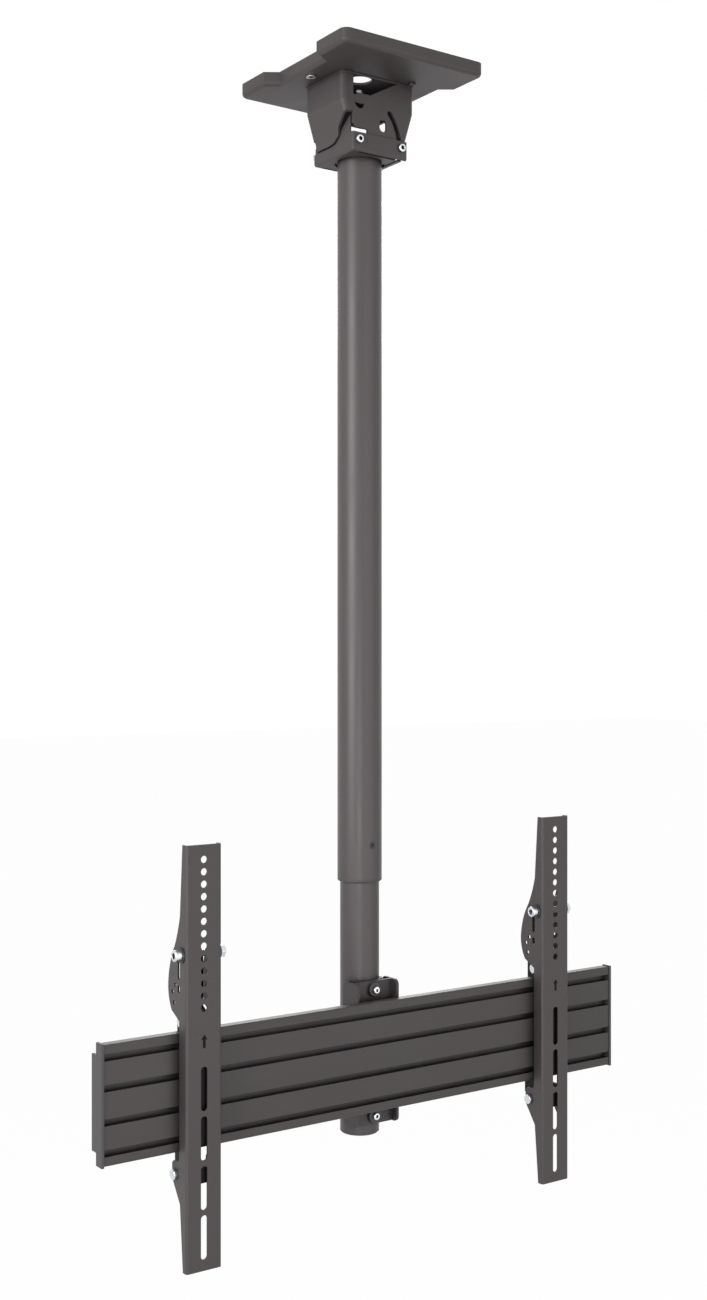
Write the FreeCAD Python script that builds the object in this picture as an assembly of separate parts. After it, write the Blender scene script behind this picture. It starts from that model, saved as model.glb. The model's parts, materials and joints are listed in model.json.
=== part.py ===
"""Ceiling mount for a large screen: plate, tilting head, telescopic pole, rail and two screen arms.

Millimetres, +Z up. The origin is the middle of the ceiling plate's top face, on the pole's axis.
+X runs along the rail, and the screen hangs on the -Y side.
"""
import FreeCAD, Part
import math
import os

from FreeCAD import Vector

# Ceiling plate
PLATE_X = 187.5
PLATE_Y = 214.0
PLATE_H = 15.0
PLATE_T = 3.0
PLATE_CORNER_R = 9.0
PLATE_EDGE_R = 4.5
NOTCH_DEPTH = 15.0
NOTCH_HALF = 44.0
NOTCH_SLOPE = 10.0
ANCHOR_X = 65.0
ANCHOR_D = 9.0
ANCHOR_HEAD_D = 11.0
ANCHOR_HEAD_H = 1.4
ANCHOR_SOCKET = 5.0
EARTH_AT = (39.5, -46.0)
EARTH_D = 8.0
EARTH_H = 3.2

# Yoke
YOKE_T = 3.0
YOKE_X = 98.0
YOKE_Y = 74.0
YOKE_WEB_TOP = -4.0
YOKE_BEND_R = 6.0
YOKE_KINK_Z = -46.0
YOKE_FOOT_X = 38.5
YOKE_FOOT_Z = -79.5
YOKE_BOTTOM = -95.5
LEFT_EAR_EDGE = ((-37.0, -56.0), (-17.0, -71.5), (-13.8, -79.0), (-5.0, -85.0), (5.0, -86.5),
                 (26.0, -86.5), (33.0, -83.5), (37.0, -77.5))
EAR_GAP = 1.2
RIGHT_EAR_BOTTOM = -40.0
RIGHT_FLANGE_Y = 6.0
RIGHT_FLANGE_BOTTOM = -80.0
APRON_BOTTOM = -46.0
REAR_CHEEK_X = 9.0
CABLE_HOLE_R = 14.0
CENTRE_PIN_Y = -29.0
CENTRE_PIN_R = 2.8
FLANGE_IN_X = 34.0
SLANT_LOW = (-16.0, -38.6)
SLANT_HIGH = (40.5, -8.2)
RELIEF_TIP = (-40.0, -62.0)
RELIEF_FOOT = (-30.5, -74.2)
GAP_X = (-34.2, -15.0)
GAP_Z = (-81.0, -74.2)
LOOK_HOLE = (6.0, -66.5)
LOOK_HOLE_W = 9.5
LOOK_HOLE_H = 13.5
MOON_AT = (-25.5, -46.5)
MOON_R = 6.5
WELD_R = 1.2
TAB_AT = (-21.0, -27.5)
TAB_Z = -36.0
TAB_R = 8.5
TAB_BOLT_R = 4.6
TAB_BOLT_H = 6.0

# Head block, pivot bolt and slot bolt
BLOCK_X = 73.0
BLOCK_Y = 79.0
BLOCK_TOP = -80.0
BLOCK_BOTTOM = -101.0
BLOCK_T = 2.0
BLOCK_EDGE_R = 3.0
BOLT_X = 28.6
BOLT_Z = -88.0
BOLT_D = 6.0
BOLT_HEAD_D = 9.0
BOLT_HEAD_H = 4.0
BOLT_SOCKET = 1.0
HEAD_TILT_MAX = 40.0
SLOT_CLEAR = 0.3
SHEET_CLEAR = 0.4
BLOCK_LEFT_TOP = -88.0
BLOCK_RAISED = -60.0
BLOCK_APEX_Y = -33.5
FLOOR_SLOT_START = 1.6
FLOOR_RIGHT_X = 33.0
LIP_SLOT_X = (25.5, 28.5)
LIP_SLOT_Y = (-33.6, -4.0)
SWING_CLEAR = 4.5
NUT_ACROSS = 10.0
NUT_H = 5.0

# Pole
OUTER_D = 50.0
INNER_D = 44.0
TUBE_T = 2.0
OUTER_BOTTOM = -905.0
MOUTH_CLEAR_R = 3.0
FLANGE_D = 62.0
FLANGE_T = 4.5
FLANGE_BOTTOM = BLOCK_BOTTOM + BLOCK_T
SPIGOT_H = 20.0
BUSH_LIP_H = 3.0
BUSH_SLEEVE_H = 30.0
FIT = 0.15
LOCK_Z = -866.0
LOCK_D = 8.0
INNER_TOP = -300.0
PLUG_LIP_H = 3.0
PLUG_DEPTH = 15.0
GUIDE_H = 30.0

# Rail
RAIL_MID_Z = -1096.3
RAIL_LENGTH = 685.0
RAIL_H = 120.0
RAIL_TOP = RAIL_MID_Z + RAIL_H / 2
RAIL_LOW = RAIL_MID_Z - RAIL_H / 2
RAIL_FRONT_Y = -47.3
LIP_DEPTH = 10.3
BODY_DEPTH = 9.6
BODY_H = 94.6
GROOVE_OFFSETS = (-47.1, -16.75, 16.75, 47.1)
GROOVE_OPEN = 7.0
GROOVE_POCKET = 12.0
GROOVE_LIP = 2.0
GROOVE_DEPTH = 7.6
RAIL_WALL = 2.2
RAIL_EDGE_R = 1.5
CAP_T = 3.4
CAP_MARGIN = 1.0
CAP_TONGUE = 12.0

# Carrier
CARRIER_HALF_H = 79.5
POLE_PAST_CARRIER = 11.2
INNER_BOTTOM = RAIL_MID_Z - CARRIER_HALF_H - POLE_PAST_CARRIER
CARRIER_HALF_X = 28.0
CARRIER_T = 3.0
CARRIER_CORNER_R = 6.0
CARRIER_BACK_Y = -8.0
SADDLE_ANGLE = 62.0
SADDLE_H = 26.0
CARRIER_BOLT_FROM_END = 9.5
CARRIER_BOLT_OFFSET = CARRIER_HALF_H - CARRIER_BOLT_FROM_END
CARRIER_BOLT_D = 6.0
BOSS_R = 8.0
BOSS_H = 4.0
CARRIER_HEAD_D = 8.0
CARRIER_HEAD_H = 3.0
CARRIER_SOCKET = 3.5
RAIL_BOLT_X = 19.0
RAIL_BOLT_OFFSET = 30.0
RAIL_BOLT_D = 6.0
NUT_BAR_H = 16.0

# Screen arms: depths are behind the arm's face, heights are above or below what is named
ARM_FROM_END = 106.15
ARM_X = RAIL_LENGTH / 2 - ARM_FROM_END
ARM_W = 41.0
ARM_T = 2.0
ARM_FRONT_Y = -64.8
ARM_ABOVE = 191.5
ARM_BELOW = 118.7
ARM_TOP = RAIL_TOP + ARM_ABOVE
ARM_BOTTOM = RAIL_LOW - ARM_BELOW
ARM_TOP_DEPTH = 8.5
ARM_BOTTOM_DEPTH = 7.5
ARM_WAIST_DEPTH = 15.0
ARM_BEND_R = 3.0
HOLE_PITCH = 12.5
HOLE_COUNT = 13
HOLE_TOP = ARM_TOP - 15.1
HOLE_W = 7.5
SLOT_BELOW = 32.7
SLOT_TOP = RAIL_TOP - SLOT_BELOW
SLOT_STEP = 50.0
SLOT_LENGTH = 44.8
SLOT_COUNT = 4
TILT_BOLT_ABOVE = 80.3
TILT_BOLT = (10.5, RAIL_TOP + TILT_BOLT_ABOVE)
TILT_BOLT_D = 7.0
WASHER_D = 15.7
WASHER_T = 1.6
TILT_HEAD_D = 12.0
TILT_HEAD_H = 7.4
TILT_SOCKET_DEPTH = 5.0
TILT_NUT_H = 5.4
BULGE = ((13.5, 39.0), (17.5, 25.0), (24.5, 8.0), (33.0, -8.0), (38.0, -28.0), (37.0, -46.0), (31.0, -59.0),
         (24.0, -62.5))
LEVEL_SLOT = (15.9, -6.5, -25.3, 4.6)
LEVEL_HOLE = (15.9, -31.4, -39.0, 4.6)
GAUGE_HOLES = ((23.5, -32.0), (29.5, -39.6), (26.0, -50.3))
GAUGE_D = 4.5

# Hook brackets
HOOK_HALF_X = 10.3
HOOK_T = 2.5
HOOK_FRONT_S = 4.5
HOOK_CLEAR = 0.4
HOOK_ABOVE = 24.3
HOOK_TOP = RAIL_TOP + HOOK_ABOVE
HOOK_REACH = 38.0
HOOK_DROP = 9.0
HOOK_CHAMFER = 5.0
JAW_REACH = 43.0
FINGER_ABOVE = 81.3
FINGER_TOP = RAIL_TOP + FINGER_ABOVE
FINGER_FRONT_S = 20.5
FINGER_BACK_S = 32.0
WINDOW_ABOVE = 7.3
WINDOW_BELOW = 15.7
CROSS_BOLT_ABOVE = 10.6
CROSS_BOLT = (20.9, RAIL_TOP + CROSS_BOLT_ABOVE)
CROSS_BOLT_D = 6.0
CROSS_HEAD_D = 13.0
CROSS_HEAD_H = 7.0
HINGE_BELOW = 23.2
HINGE = (22.7, RAIL_LOW - HINGE_BELOW)
HINGE_D = 6.0
HINGE_HEAD_D = 11.0
HINGE_HEAD_H = 4.0
FOOT_LOBE = ((-7.7, 16.5), (-4.7, 13.0), (4.3, 13.0), (7.3, 10.0), (7.3, -5.5), (-9.2, -28.5))
HOOK_BOTTOM = HINGE[1] - 8.5
JAW_BLOCK_LOW = HINGE[1] + 3.5
JAW_BLOCK_H = 10.0
JAW_SCREW_D = 6.0
JAW_SCREW_S = 33.0
SPACER_D = 10.0

Z_AXIS = Vector(0, 0, 1)
Y_AXIS = Vector(0, 1, 0)
X_AXIS = Vector(1, 0, 0)


def box(x, y, z):
    """A block between the two ends given for each axis."""
    size = [max(end) - min(end) for end in (x, y, z)]
    return Part.makeBox(*size, Vector(min(x), min(y), min(z)))


def rod(radius, start, end):
    """A round bar between two points."""
    a, b = Vector(*start), Vector(*end)
    return Part.makeCylinder(radius, (b - a).Length, a, b - a)


def ring(outer, inner, z0, z1):
    """A sleeve about the pole's axis."""
    return rod(outer, (0, 0, z0), (0, 0, z1)).cut(rod(inner, (0, 0, z0), (0, 0, z1)))


def hexagon(across, start, end):
    """A hexagonal bar between two points."""
    a, b = Vector(*start), Vector(*end)
    radius = across / math.sqrt(3)
    side = Y_AXIS if abs((b - a).y) < 1e-6 else Z_AXIS
    other = (b - a).normalize().cross(side)
    corners = []
    for step in range(7):
        turn = math.radians(60 * step)
        corners.append(a + side * radius * math.cos(turn) + other * radius * math.sin(turn))
    return Part.Face(Part.makePolygon(corners)).extrude(b - a)


def wire_face(points):
    """A face from a closed list of corner points."""
    return Part.Face(Part.makePolygon(points + points[:1]))


def plan_prism(outline, z0, z1):
    """An outline in X and Y, extruded up."""
    return wire_face([Vector(x, y, z0) for x, y in outline]).extrude(Vector(0, 0, z1 - z0))


def front_prism(outline, y0, y1):
    """An outline in X and Z, extruded along Y."""
    return wire_face([Vector(x, y0, z) for x, z in outline]).extrude(Vector(0, y1 - y0, 0))


def side_prism(outline, x0, x1):
    """An outline in Y and Z, extruded along X."""
    return wire_face([Vector(x0, y, z) for y, z in outline]).extrude(Vector(x1 - x0, 0, 0))


def fuse(shapes):
    """One solid out of several that touch."""
    whole = shapes[0]
    for shape in shapes[1:]:
        whole = whole.fuse(shape)
    return whole.removeSplitter()


def group(shapes):
    """Like pieces that share a node and stay separate solids."""
    return Part.makeCompound(shapes)


def round_edges(shape, radius, keep):
    """Fillets on the edges that the test picks."""
    edges = [edge for edge in shape.Edges if keep(edge)]
    return shape.makeFillet(radius, edges)


def upright(edge):
    """True for an edge that runs straight up."""
    a, b = edge.Vertexes[0].Point, edge.Vertexes[-1].Point
    return abs(a.x - b.x) < 1e-6 and abs(a.y - b.y) < 1e-6 and abs(a.z - b.z) > 1e-6


def mirrored(shape):
    """The same piece on the other side of the pole."""
    return shape.mirror(Vector(0, 0, 0), X_AXIS)


def slot_through(x, y, z_low, z_high, width):
    """A cutter for a long hole that stands upright and runs through along Y."""
    r = width / 2
    middle = box((x - r, x + r), y, (z_low + r, z_high - r))
    ends = [rod(r, (x, y[0], z), (x, y[1], z)) for z in (z_low + r, z_high - r)]
    return fuse([middle] + ends)


def plate_outline(inset):
    """Plan of the ceiling plate, drawn in by the inset."""
    hx = PLATE_X / 2 - inset
    hy = PLATE_Y / 2 - inset
    nx = hx - NOTCH_DEPTH
    n1 = NOTCH_HALF + inset
    n2 = NOTCH_HALF + NOTCH_SLOPE + inset
    right = [(hx, -hy), (hx, -n2), (nx, -n1), (nx, n1), (hx, n2), (hx, hy)]
    left = [(-x, -y) for x, y in right]
    return right + left


def plate_block(inset, z0, z1, corner_r):
    """The plate's plan as a block with rounded corners."""
    block = plan_prism(plate_outline(inset), z0, z1)
    hx = PLATE_X / 2 - inset
    hy = PLATE_Y / 2 - inset

    def at_corner(edge):
        point = edge.Vertexes[0].Point
        return upright(edge) and abs(abs(point.x) - hx) < 1e-3 and abs(abs(point.y) - hy) < 1e-3
    return round_edges(block, corner_r, at_corner)


def ceiling_plate():
    """Pressed dish, open to the ceiling, with a window that the yoke passes through."""
    outer = plate_block(0, -PLATE_H, 0, PLATE_CORNER_R)
    outer = round_edges(outer, PLATE_EDGE_R, lambda e: all(abs(v.Z + PLATE_H) < 1e-6 for v in e.Vertexes))
    inner = plate_block(PLATE_T, -PLATE_H + PLATE_T, 1, PLATE_CORNER_R - PLATE_T)
    dish = outer.cut(inner)
    dish = dish.cut(yoke_plan(0, -PLATE_H - 1, 0))
    for x in (-ANCHOR_X, ANCHOR_X):
        dish = dish.cut(rod(ANCHOR_D / 2, (x, 0, -PLATE_H - 1), (x, 0, 0)))
    x, y = EARTH_AT
    return dish.cut(rod(EARTH_D / 4, (x, y, -PLATE_H - 1), (x, y, 0)))


def anchor_screws():
    """The two screws that hold the plate to the ceiling."""
    screws = []
    for x in (-ANCHOR_X, ANCHOR_X):
        shank = rod(ANCHOR_D / 2 - 1, (x, 0, -PLATE_H), (x, 0, 0))
        head = rod(ANCHOR_HEAD_D / 2, (x, 0, -PLATE_H - ANCHOR_HEAD_H), (x, 0, -PLATE_H))
        socket = hexagon(ANCHOR_SOCKET, (x, 0, -PLATE_H - ANCHOR_HEAD_H), (x, 0, -PLATE_H + 1))
        screws.append(fuse([shank, head]).cut(socket))
    return group(screws)


def earth_screw():
    """Blackened pan-head screw for the earth lead, on the plate's underside before the yoke."""
    x, y = EARTH_AT
    low = -PLATE_H - EARTH_H
    shank = rod(EARTH_D / 4, (x, y, -PLATE_H), (x, y, -PLATE_H + PLATE_T + 3))
    head = rod(EARTH_D / 2, (x, y, low), (x, y, -PLATE_H))
    head = round_edges(head, EARTH_H / 3, lambda e: e.Closed and e.Vertexes[0].Z < low + 0.1)
    socket = hexagon(EARTH_D / 2, (x, y, low - 1), (x, y, low + EARTH_H / 2))
    return fuse([shank, head]).cut(socket)


def yoke_plan(clear, z0, z1):
    """The yoke's plan as an upright block with rounded bends."""
    hx = YOKE_X / 2 + clear
    hy = YOKE_Y / 2 + clear
    block = box((-hx, hx), (-hy, hy), (z0, z1))
    return round_edges(block, YOKE_BEND_R + clear, upright)


def yoke_envelope(inset):
    """Outside of the folded yoke: straight at the top, drawn in towards the block."""
    hx = YOKE_X / 2 - inset
    hy = YOKE_Y / 2 - inset
    fx = YOKE_FOOT_X - inset
    top = YOKE_WEB_TOP - inset
    outline = [(-hx, top), (-hx, YOKE_KINK_Z), (-fx, YOKE_FOOT_Z), (-fx, YOKE_BOTTOM),
               (fx, YOKE_BOTTOM), (fx, YOKE_FOOT_Z), (hx, YOKE_KINK_Z), (hx, top)]
    block = front_prism(outline, -hy, hy)

    def at_bend(edge):
        a, b = edge.Vertexes[0].Point, edge.Vertexes[-1].Point
        return abs(a.y - b.y) < 1e-6 and a.x * b.x > 0 and abs(a.z - b.z) > 1
    return round_edges(block, YOKE_BEND_R - inset, at_bend)


def about_pivot(radius, degrees):
    """A point in X and Z at a radius and a turn about the left head bolt."""
    turn = math.radians(degrees)
    return (-BOLT_X + radius * math.cos(turn), BOLT_Z + radius * math.sin(turn))


def arc_slot(y):
    """Cutter for the arc slot that the right head bolt rides in."""
    reach = 2 * BOLT_X
    half = BOLT_D / 2 + SLOT_CLEAR
    discs = [rod(r, (-BOLT_X, y[0], BOLT_Z), (-BOLT_X, y[1], BOLT_Z)) for r in (reach + half, reach - half)]
    fan = [(-BOLT_X, BOLT_Z)] + [about_pivot(2 * reach, turn) for turn in (0, HEAD_TILT_MAX)]
    band = discs[0].cut(discs[1]).common(front_prism(fan, *y))
    ends = []
    for degrees in (0, HEAD_TILT_MAX):
        x, z = about_pivot(reach, degrees)
        ends.append(rod(half, (x, y[0], z), (x, y[1], z)))
    return fuse([band] + ends)


def swing_room(y):
    """What a cheek leaves free round the pivot, so that the block's left wall can swing."""
    wall = BLOCK_X / 2 - BLOCK_T - BOLT_X - SHEET_CLEAR
    slant = math.radians(HEAD_TILT_MAX + 5)
    left = -BOLT_X - wall
    near = (-BOLT_X - wall * math.cos(slant), BOLT_Z - wall * math.sin(slant))
    low = YOKE_BOTTOM - 1
    outline = [(-YOKE_X, GAP_Z[1]), (left, GAP_Z[1]), (left, BOLT_Z), near,
               (-BOLT_X, BOLT_Z - wall), (BOLT_X, low), (-YOKE_X, low)]
    return front_prism(outline, *y)


def front_openings(y):
    """Cutters for the front cheek: the slanted window, the notch, the holes and the arc slot."""
    under_web = YOKE_WEB_TOP - YOKE_T
    window = [(-FLANGE_IN_X, under_web), (SLANT_HIGH[0], under_web), SLANT_HIGH, SLANT_LOW,
              (-FLANGE_IN_X, SLANT_LOW[1])]
    relief = [RELIEF_TIP, RELIEF_FOOT, (RELIEF_FOOT[0], BOLT_Z), (-YOKE_X, BOLT_Z), (-YOKE_X, RELIEF_TIP[1])]
    half_moon = rod(MOON_R, (MOON_AT[0], y[0], MOON_AT[1]), (MOON_AT[0], y[1], MOON_AT[1]))
    half_moon = half_moon.cut(box((-YOKE_X, YOKE_X), y, (MOON_AT[1], 0)))
    return [front_prism(window, *y), front_prism(relief, *y), half_moon,
            box((-YOKE_X, GAP_X[1]), y, GAP_Z),
            slot_through(LOOK_HOLE[0], y, LOOK_HOLE[1] - LOOK_HOLE_H / 2, LOOK_HOLE[1] + LOOK_HOLE_H / 2,
                         LOOK_HOLE_W),
            arc_slot(y)]


def ear_trim():
    """Cutters that shape the lower ends of the two ears."""
    hy = YOKE_Y / 2
    low = YOKE_BOTTOM - 1
    left = [(-hy - 1, LEFT_EAR_EDGE[0][1])] + list(LEFT_EAR_EDGE)
    left += [(hy + 1, LEFT_EAR_EDGE[-1][1]), (hy + 1, low), (-hy - 1, low)]
    right = box((BOLT_X, YOKE_X), (RIGHT_FLANGE_Y, hy + 1), (low, RIGHT_EAR_BOTTOM))
    flange_foot = box((BOLT_X + BOLT_D, YOKE_X), (-hy - 1, RIGHT_FLANGE_Y + 1), (low, RIGHT_FLANGE_BOTTOM))
    nut_x = BOLT_X + NUT_ACROSS / 2 - SHEET_CLEAR
    nut_room = box((nut_x, YOKE_X), (-hy + YOKE_T, RIGHT_FLANGE_Y + 1), (low, RIGHT_FLANGE_BOTTOM))
    return [side_prism(left, -YOKE_X, -BOLT_X - YOKE_BEND_R), right, flange_foot, nut_room]


def weld_bead():
    """Bead along the yoke's outside where it meets the plate's underside."""
    wide = yoke_plan(WELD_R, -PLATE_H - WELD_R, -PLATE_H)
    return wide.cut(yoke_plan(-YOKE_T / 2, -PLATE_H - 2 * WELD_R, 0))


def yoke():
    """Folded sheet: web, long left ear, front cheek, back apron with the rear cheek, short right ear."""
    hy = YOKE_Y / 2
    front = (-hy - 1, -hy + YOKE_BEND_R)
    back = (hy - YOKE_BEND_R, hy + 1)
    inside = hy - YOKE_T
    shell = yoke_envelope(0).cut(yoke_envelope(YOKE_T))
    foot = box((-YOKE_X, YOKE_X), (-inside, inside), (YOKE_BOTTOM - 1, YOKE_BOTTOM + YOKE_T + 1))
    cutters = [foot, swing_room(front), swing_room(back)] + front_openings(front) + ear_trim()
    cutters.append(box((REAR_CHEEK_X, YOKE_X), back, (YOKE_BOTTOM - 1, APRON_BOTTOM)))
    cutters.append(rod(BOLT_D / 2 + SLOT_CLEAR, (-BOLT_X, -hy - 1, BOLT_Z), (-BOLT_X, hy + 1, BOLT_Z)))
    cutters.append(rod(CABLE_HOLE_R, (0, 0, YOKE_WEB_TOP - YOKE_T - 1), (0, 0, 0)))
    cutters.append(rod(CENTRE_PIN_R, (0, CENTRE_PIN_Y, YOKE_WEB_TOP - YOKE_T - 1), (0, CENTRE_PIN_Y, 0)))
    for cutter in cutters:
        shell = shell.cut(cutter)
    return fuse([shell, weld_bead(), safety_tab()])


def safety_tab():
    """Round-ended tab bent inwards from the front cheek's top edge."""
    x, y = TAB_AT
    z = (TAB_Z - YOKE_T, TAB_Z)
    root = box((x - TAB_R, x + TAB_R), (-YOKE_Y / 2 + YOKE_T / 2, y), z)
    riser = box((x - TAB_R, x + TAB_R), (-YOKE_Y / 2, -YOKE_Y / 2 + YOKE_T), (SLANT_LOW[1] - YOKE_T, TAB_Z))
    tab = fuse([root, riser, rod(TAB_R, (x, y, z[0]), (x, y, z[1]))])
    return tab.cut(rod(TAB_BOLT_R - 1, (x, y, z[0] - 1), (x, y, z[1] + 1)))


def safety_bolt():
    """Bright bolt in the yoke's tab, head down."""
    x, y = TAB_AT
    shank = rod(TAB_BOLT_R - 1.3, (x, y, TAB_Z - YOKE_T), (x, y, TAB_Z + TAB_BOLT_H))
    head = rod(TAB_BOLT_R, (x, y, TAB_Z - YOKE_T - 2), (x, y, TAB_Z - YOKE_T))
    nut = hexagon(2 * TAB_BOLT_R, (x, y, TAB_Z), (x, y, TAB_Z + TAB_BOLT_H - 1))
    return fuse([shank, head, nut])


def block_shell(hx, hy):
    """The block's folded sheet before its walls get their heights."""
    block = box((-hx, hx), (-hy, hy), (BLOCK_BOTTOM, BLOCK_RAISED))

    def left_or_low(edge):
        a, b = edge.Vertexes[0].Point, edge.Vertexes[-1].Point
        on_floor = abs(a.z - BLOCK_BOTTOM) < 1e-6 and abs(b.z - BLOCK_BOTTOM) < 1e-6
        return (upright(edge) and a.x < 0) or (on_floor and not (a.x > 0 and b.x > 0))
    block = round_edges(block, BLOCK_EDGE_R, left_or_low)
    inner = box((-hx + BLOCK_T, hx + 1), (-hy + BLOCK_T, hy - BLOCK_T), (BLOCK_BOTTOM + BLOCK_T, 0))
    return block.cut(round_edges(inner, BLOCK_EDGE_R - BLOCK_T, lambda e: upright(e) and e.Vertexes[0].X < 0))


def block_left_room(hy):
    """What the block's left wall leaves free: it follows the ear's lower edge a small gap below."""
    apex = (BLOCK_APEX_Y, LEFT_EAR_EDGE[0][1] - 2 * EAR_GAP - 3)
    below = [(y - EAR_GAP / 2, z - EAR_GAP) for y, z in LEFT_EAR_EDGE[1:6]]
    back = [(hy - BLOCK_EDGE_R, BLOCK_LEFT_TOP), (hy + 1, BLOCK_LEFT_TOP)]
    foot = [(-hy - 1, BLOCK_TOP), (BLOCK_APEX_Y, BLOCK_TOP), apex]
    return foot + below + back + [(hy + 1, 0), (-hy - 1, 0)]


def head_block():
    """Folded sheet round the yoke's foot: front, left and back walls on a floor with room for the cheeks."""
    hx, hy = BLOCK_X / 2, BLOCK_Y / 2
    block = block_shell(hx, hy)
    block = block.cut(box((-hx + BLOCK_EDGE_R, hx + 1), (-hy - 1, hy + 1), (BLOCK_TOP, 0)))
    block = block.cut(side_prism(block_left_room(hy), -hx - 1, -hx + BLOCK_EDGE_R))
    floor = (BLOCK_BOTTOM - 1, BLOCK_BOTTOM + BLOCK_T + 1)
    cheek_in = YOKE_Y / 2 - YOKE_T - SHEET_CLEAR
    cheek_out = hy - BLOCK_T
    near = -BOLT_X + FLOOR_SLOT_START
    block = block.cut(box((near, hx + 1), (-cheek_out, -cheek_in), floor))
    block = block.cut(box((near, REAR_CHEEK_X + SWING_CLEAR), (cheek_in, cheek_out), floor))
    block = block.cut(rod(OUTER_D / 2 + MOUTH_CLEAR_R, (0, 0, floor[0]), (0, 0, floor[1])))
    block = block.cut(box(LIP_SLOT_X, LIP_SLOT_Y, floor))
    block = block.cut(box((FLOOR_RIGHT_X, hx + 1), (-cheek_out, RIGHT_FLANGE_Y + EAR_GAP), floor))
    for x in (-BOLT_X, BOLT_X):
        end = hy + 1 if x < 0 else 0
        block = block.cut(rod(BOLT_D / 2 + FIT, (x, -hy - 1, BOLT_Z), (x, end, BOLT_Z)))
    return block


def socket_bolt(x, back):
    """Bolt along Y with a round socket head on the block's front face."""
    front = -BLOCK_Y / 2
    shank = rod(BOLT_D / 2, (x, front, BOLT_Z), (x, back, BOLT_Z))
    head = rod(BOLT_HEAD_D / 2, (x, front - BOLT_HEAD_H, BOLT_Z), (x, front, BOLT_Z))
    tip = front - BOLT_HEAD_H / 2
    head = round_edges(head, BOLT_HEAD_H / 4, lambda e: e.Vertexes[0].Y < tip and e.Closed)
    socket = hexagon(BOLT_HEAD_D / 2, (x, front - BOLT_HEAD_H - 1, BOLT_Z), (x, front + BOLT_SOCKET, BOLT_Z))
    return fuse([shank, head]).cut(socket)


def head_nut(x, y):
    """Nut on a head bolt, its near face at the given Y."""
    nut = hexagon(NUT_ACROSS, (x, y, BOLT_Z), (x, y + NUT_H, BOLT_Z))
    return nut.cut(rod(BOLT_D / 2, (x, y - 1, BOLT_Z), (x, y + NUT_H + 1, BOLT_Z)))


def outer_tube():
    """Upper pole: round tube with the hole for its grub screw."""
    tube = ring(OUTER_D / 2, OUTER_D / 2 - TUBE_T, OUTER_BOTTOM, FLANGE_BOTTOM)
    return tube.cut(rod(LOCK_D / 2, (0, -OUTER_D / 2 - 1, LOCK_Z), (0, 0, LOCK_Z)))


def pole_flange():
    """Turned flange on the pole's top, which the block's floor carries."""
    plate = ring(FLANGE_D / 2, OUTER_D / 2 - TUBE_T, FLANGE_BOTTOM, FLANGE_BOTTOM + FLANGE_T)
    spigot = ring(OUTER_D / 2 - TUBE_T, OUTER_D / 2 - 2 * TUBE_T,
                  FLANGE_BOTTOM - SPIGOT_H, FLANGE_BOTTOM + FLANGE_T)
    return fuse([plate, spigot])


def lock_screw():
    """Grub screw that holds the inner tube at its height."""
    tip = -INNER_D / 2 - FIT
    screw = rod(LOCK_D / 2, (0, -OUTER_D / 2 + 0.5, LOCK_Z), (0, tip, LOCK_Z))
    socket = hexagon(LOCK_D / 2, (0, -OUTER_D / 2, LOCK_Z), (0, tip - 1, LOCK_Z))
    return screw.cut(socket)


def guide_bush():
    """Plastic bush in the outer tube's mouth, with a bevelled lip below it."""
    bore = INNER_D / 2 + FIT
    sleeve = ring(OUTER_D / 2 - TUBE_T, bore, OUTER_BOTTOM, OUTER_BOTTOM + BUSH_SLEEVE_H)
    lip = ring(OUTER_D / 2, bore, OUTER_BOTTOM - BUSH_LIP_H, OUTER_BOTTOM)
    low = OUTER_BOTTOM - BUSH_LIP_H

    def outer_low(edge):
        return edge.Closed and abs(edge.BoundBox.ZMin - low) < 1e-6 and edge.BoundBox.XMax > bore + 1
    bevel = [edge for edge in lip.Edges if outer_low(edge)]
    return fuse([sleeve, lip.makeChamfer(BUSH_LIP_H / 2, bevel)])


def inner_tube():
    """Lower pole, with the two cross holes for the carrier's bolts."""
    tube = ring(INNER_D / 2, INNER_D / 2 - TUBE_T, INNER_BOTTOM, INNER_TOP)
    for z in carrier_bolt_heights():
        tube = tube.cut(rod(CARRIER_BOLT_D / 2 + FIT, (0, -INNER_D, z), (0, INNER_D, z)))
    return tube


def top_guide():
    """Plastic ring round the inner tube's top end, which slides in the outer tube."""
    over = ring(OUTER_D / 2 - TUBE_T - FIT, INNER_D / 2, INNER_TOP - GUIDE_H, INNER_TOP)
    cap = ring(OUTER_D / 2 - TUBE_T - FIT, INNER_D / 2 - 2 * TUBE_T, INNER_TOP, INNER_TOP + TUBE_T)
    return fuse([over, cap])


def end_ring():
    """Plastic ring in the inner tube's lower end, open for the cables."""
    low = INNER_BOTTOM - PLUG_LIP_H
    lip = rod(INNER_D / 2, (0, 0, low), (0, 0, INNER_BOTTOM))
    lip = lip.makeChamfer(PLUG_LIP_H / 2, [e for e in lip.Edges if e.Closed and e.Vertexes[0].Z < low + 0.1])
    body = rod(INNER_D / 2 - TUBE_T, (0, 0, INNER_BOTTOM), (0, 0, INNER_BOTTOM + PLUG_DEPTH))
    hollow = rod(INNER_D / 2 - 2 * TUBE_T, (0, 0, low - 1), (0, 0, INNER_BOTTOM + PLUG_DEPTH + 1))
    return fuse([lip, body]).cut(hollow)


def carrier_bolt_heights():
    """The two bolts of the carrier, above and below the rail."""
    return (RAIL_MID_Z - CARRIER_BOLT_OFFSET, RAIL_MID_Z + CARRIER_BOLT_OFFSET)


def rail_back_y():
    """The rail's rear face."""
    return RAIL_FRONT_Y + LIP_DEPTH + BODY_DEPTH


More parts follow.
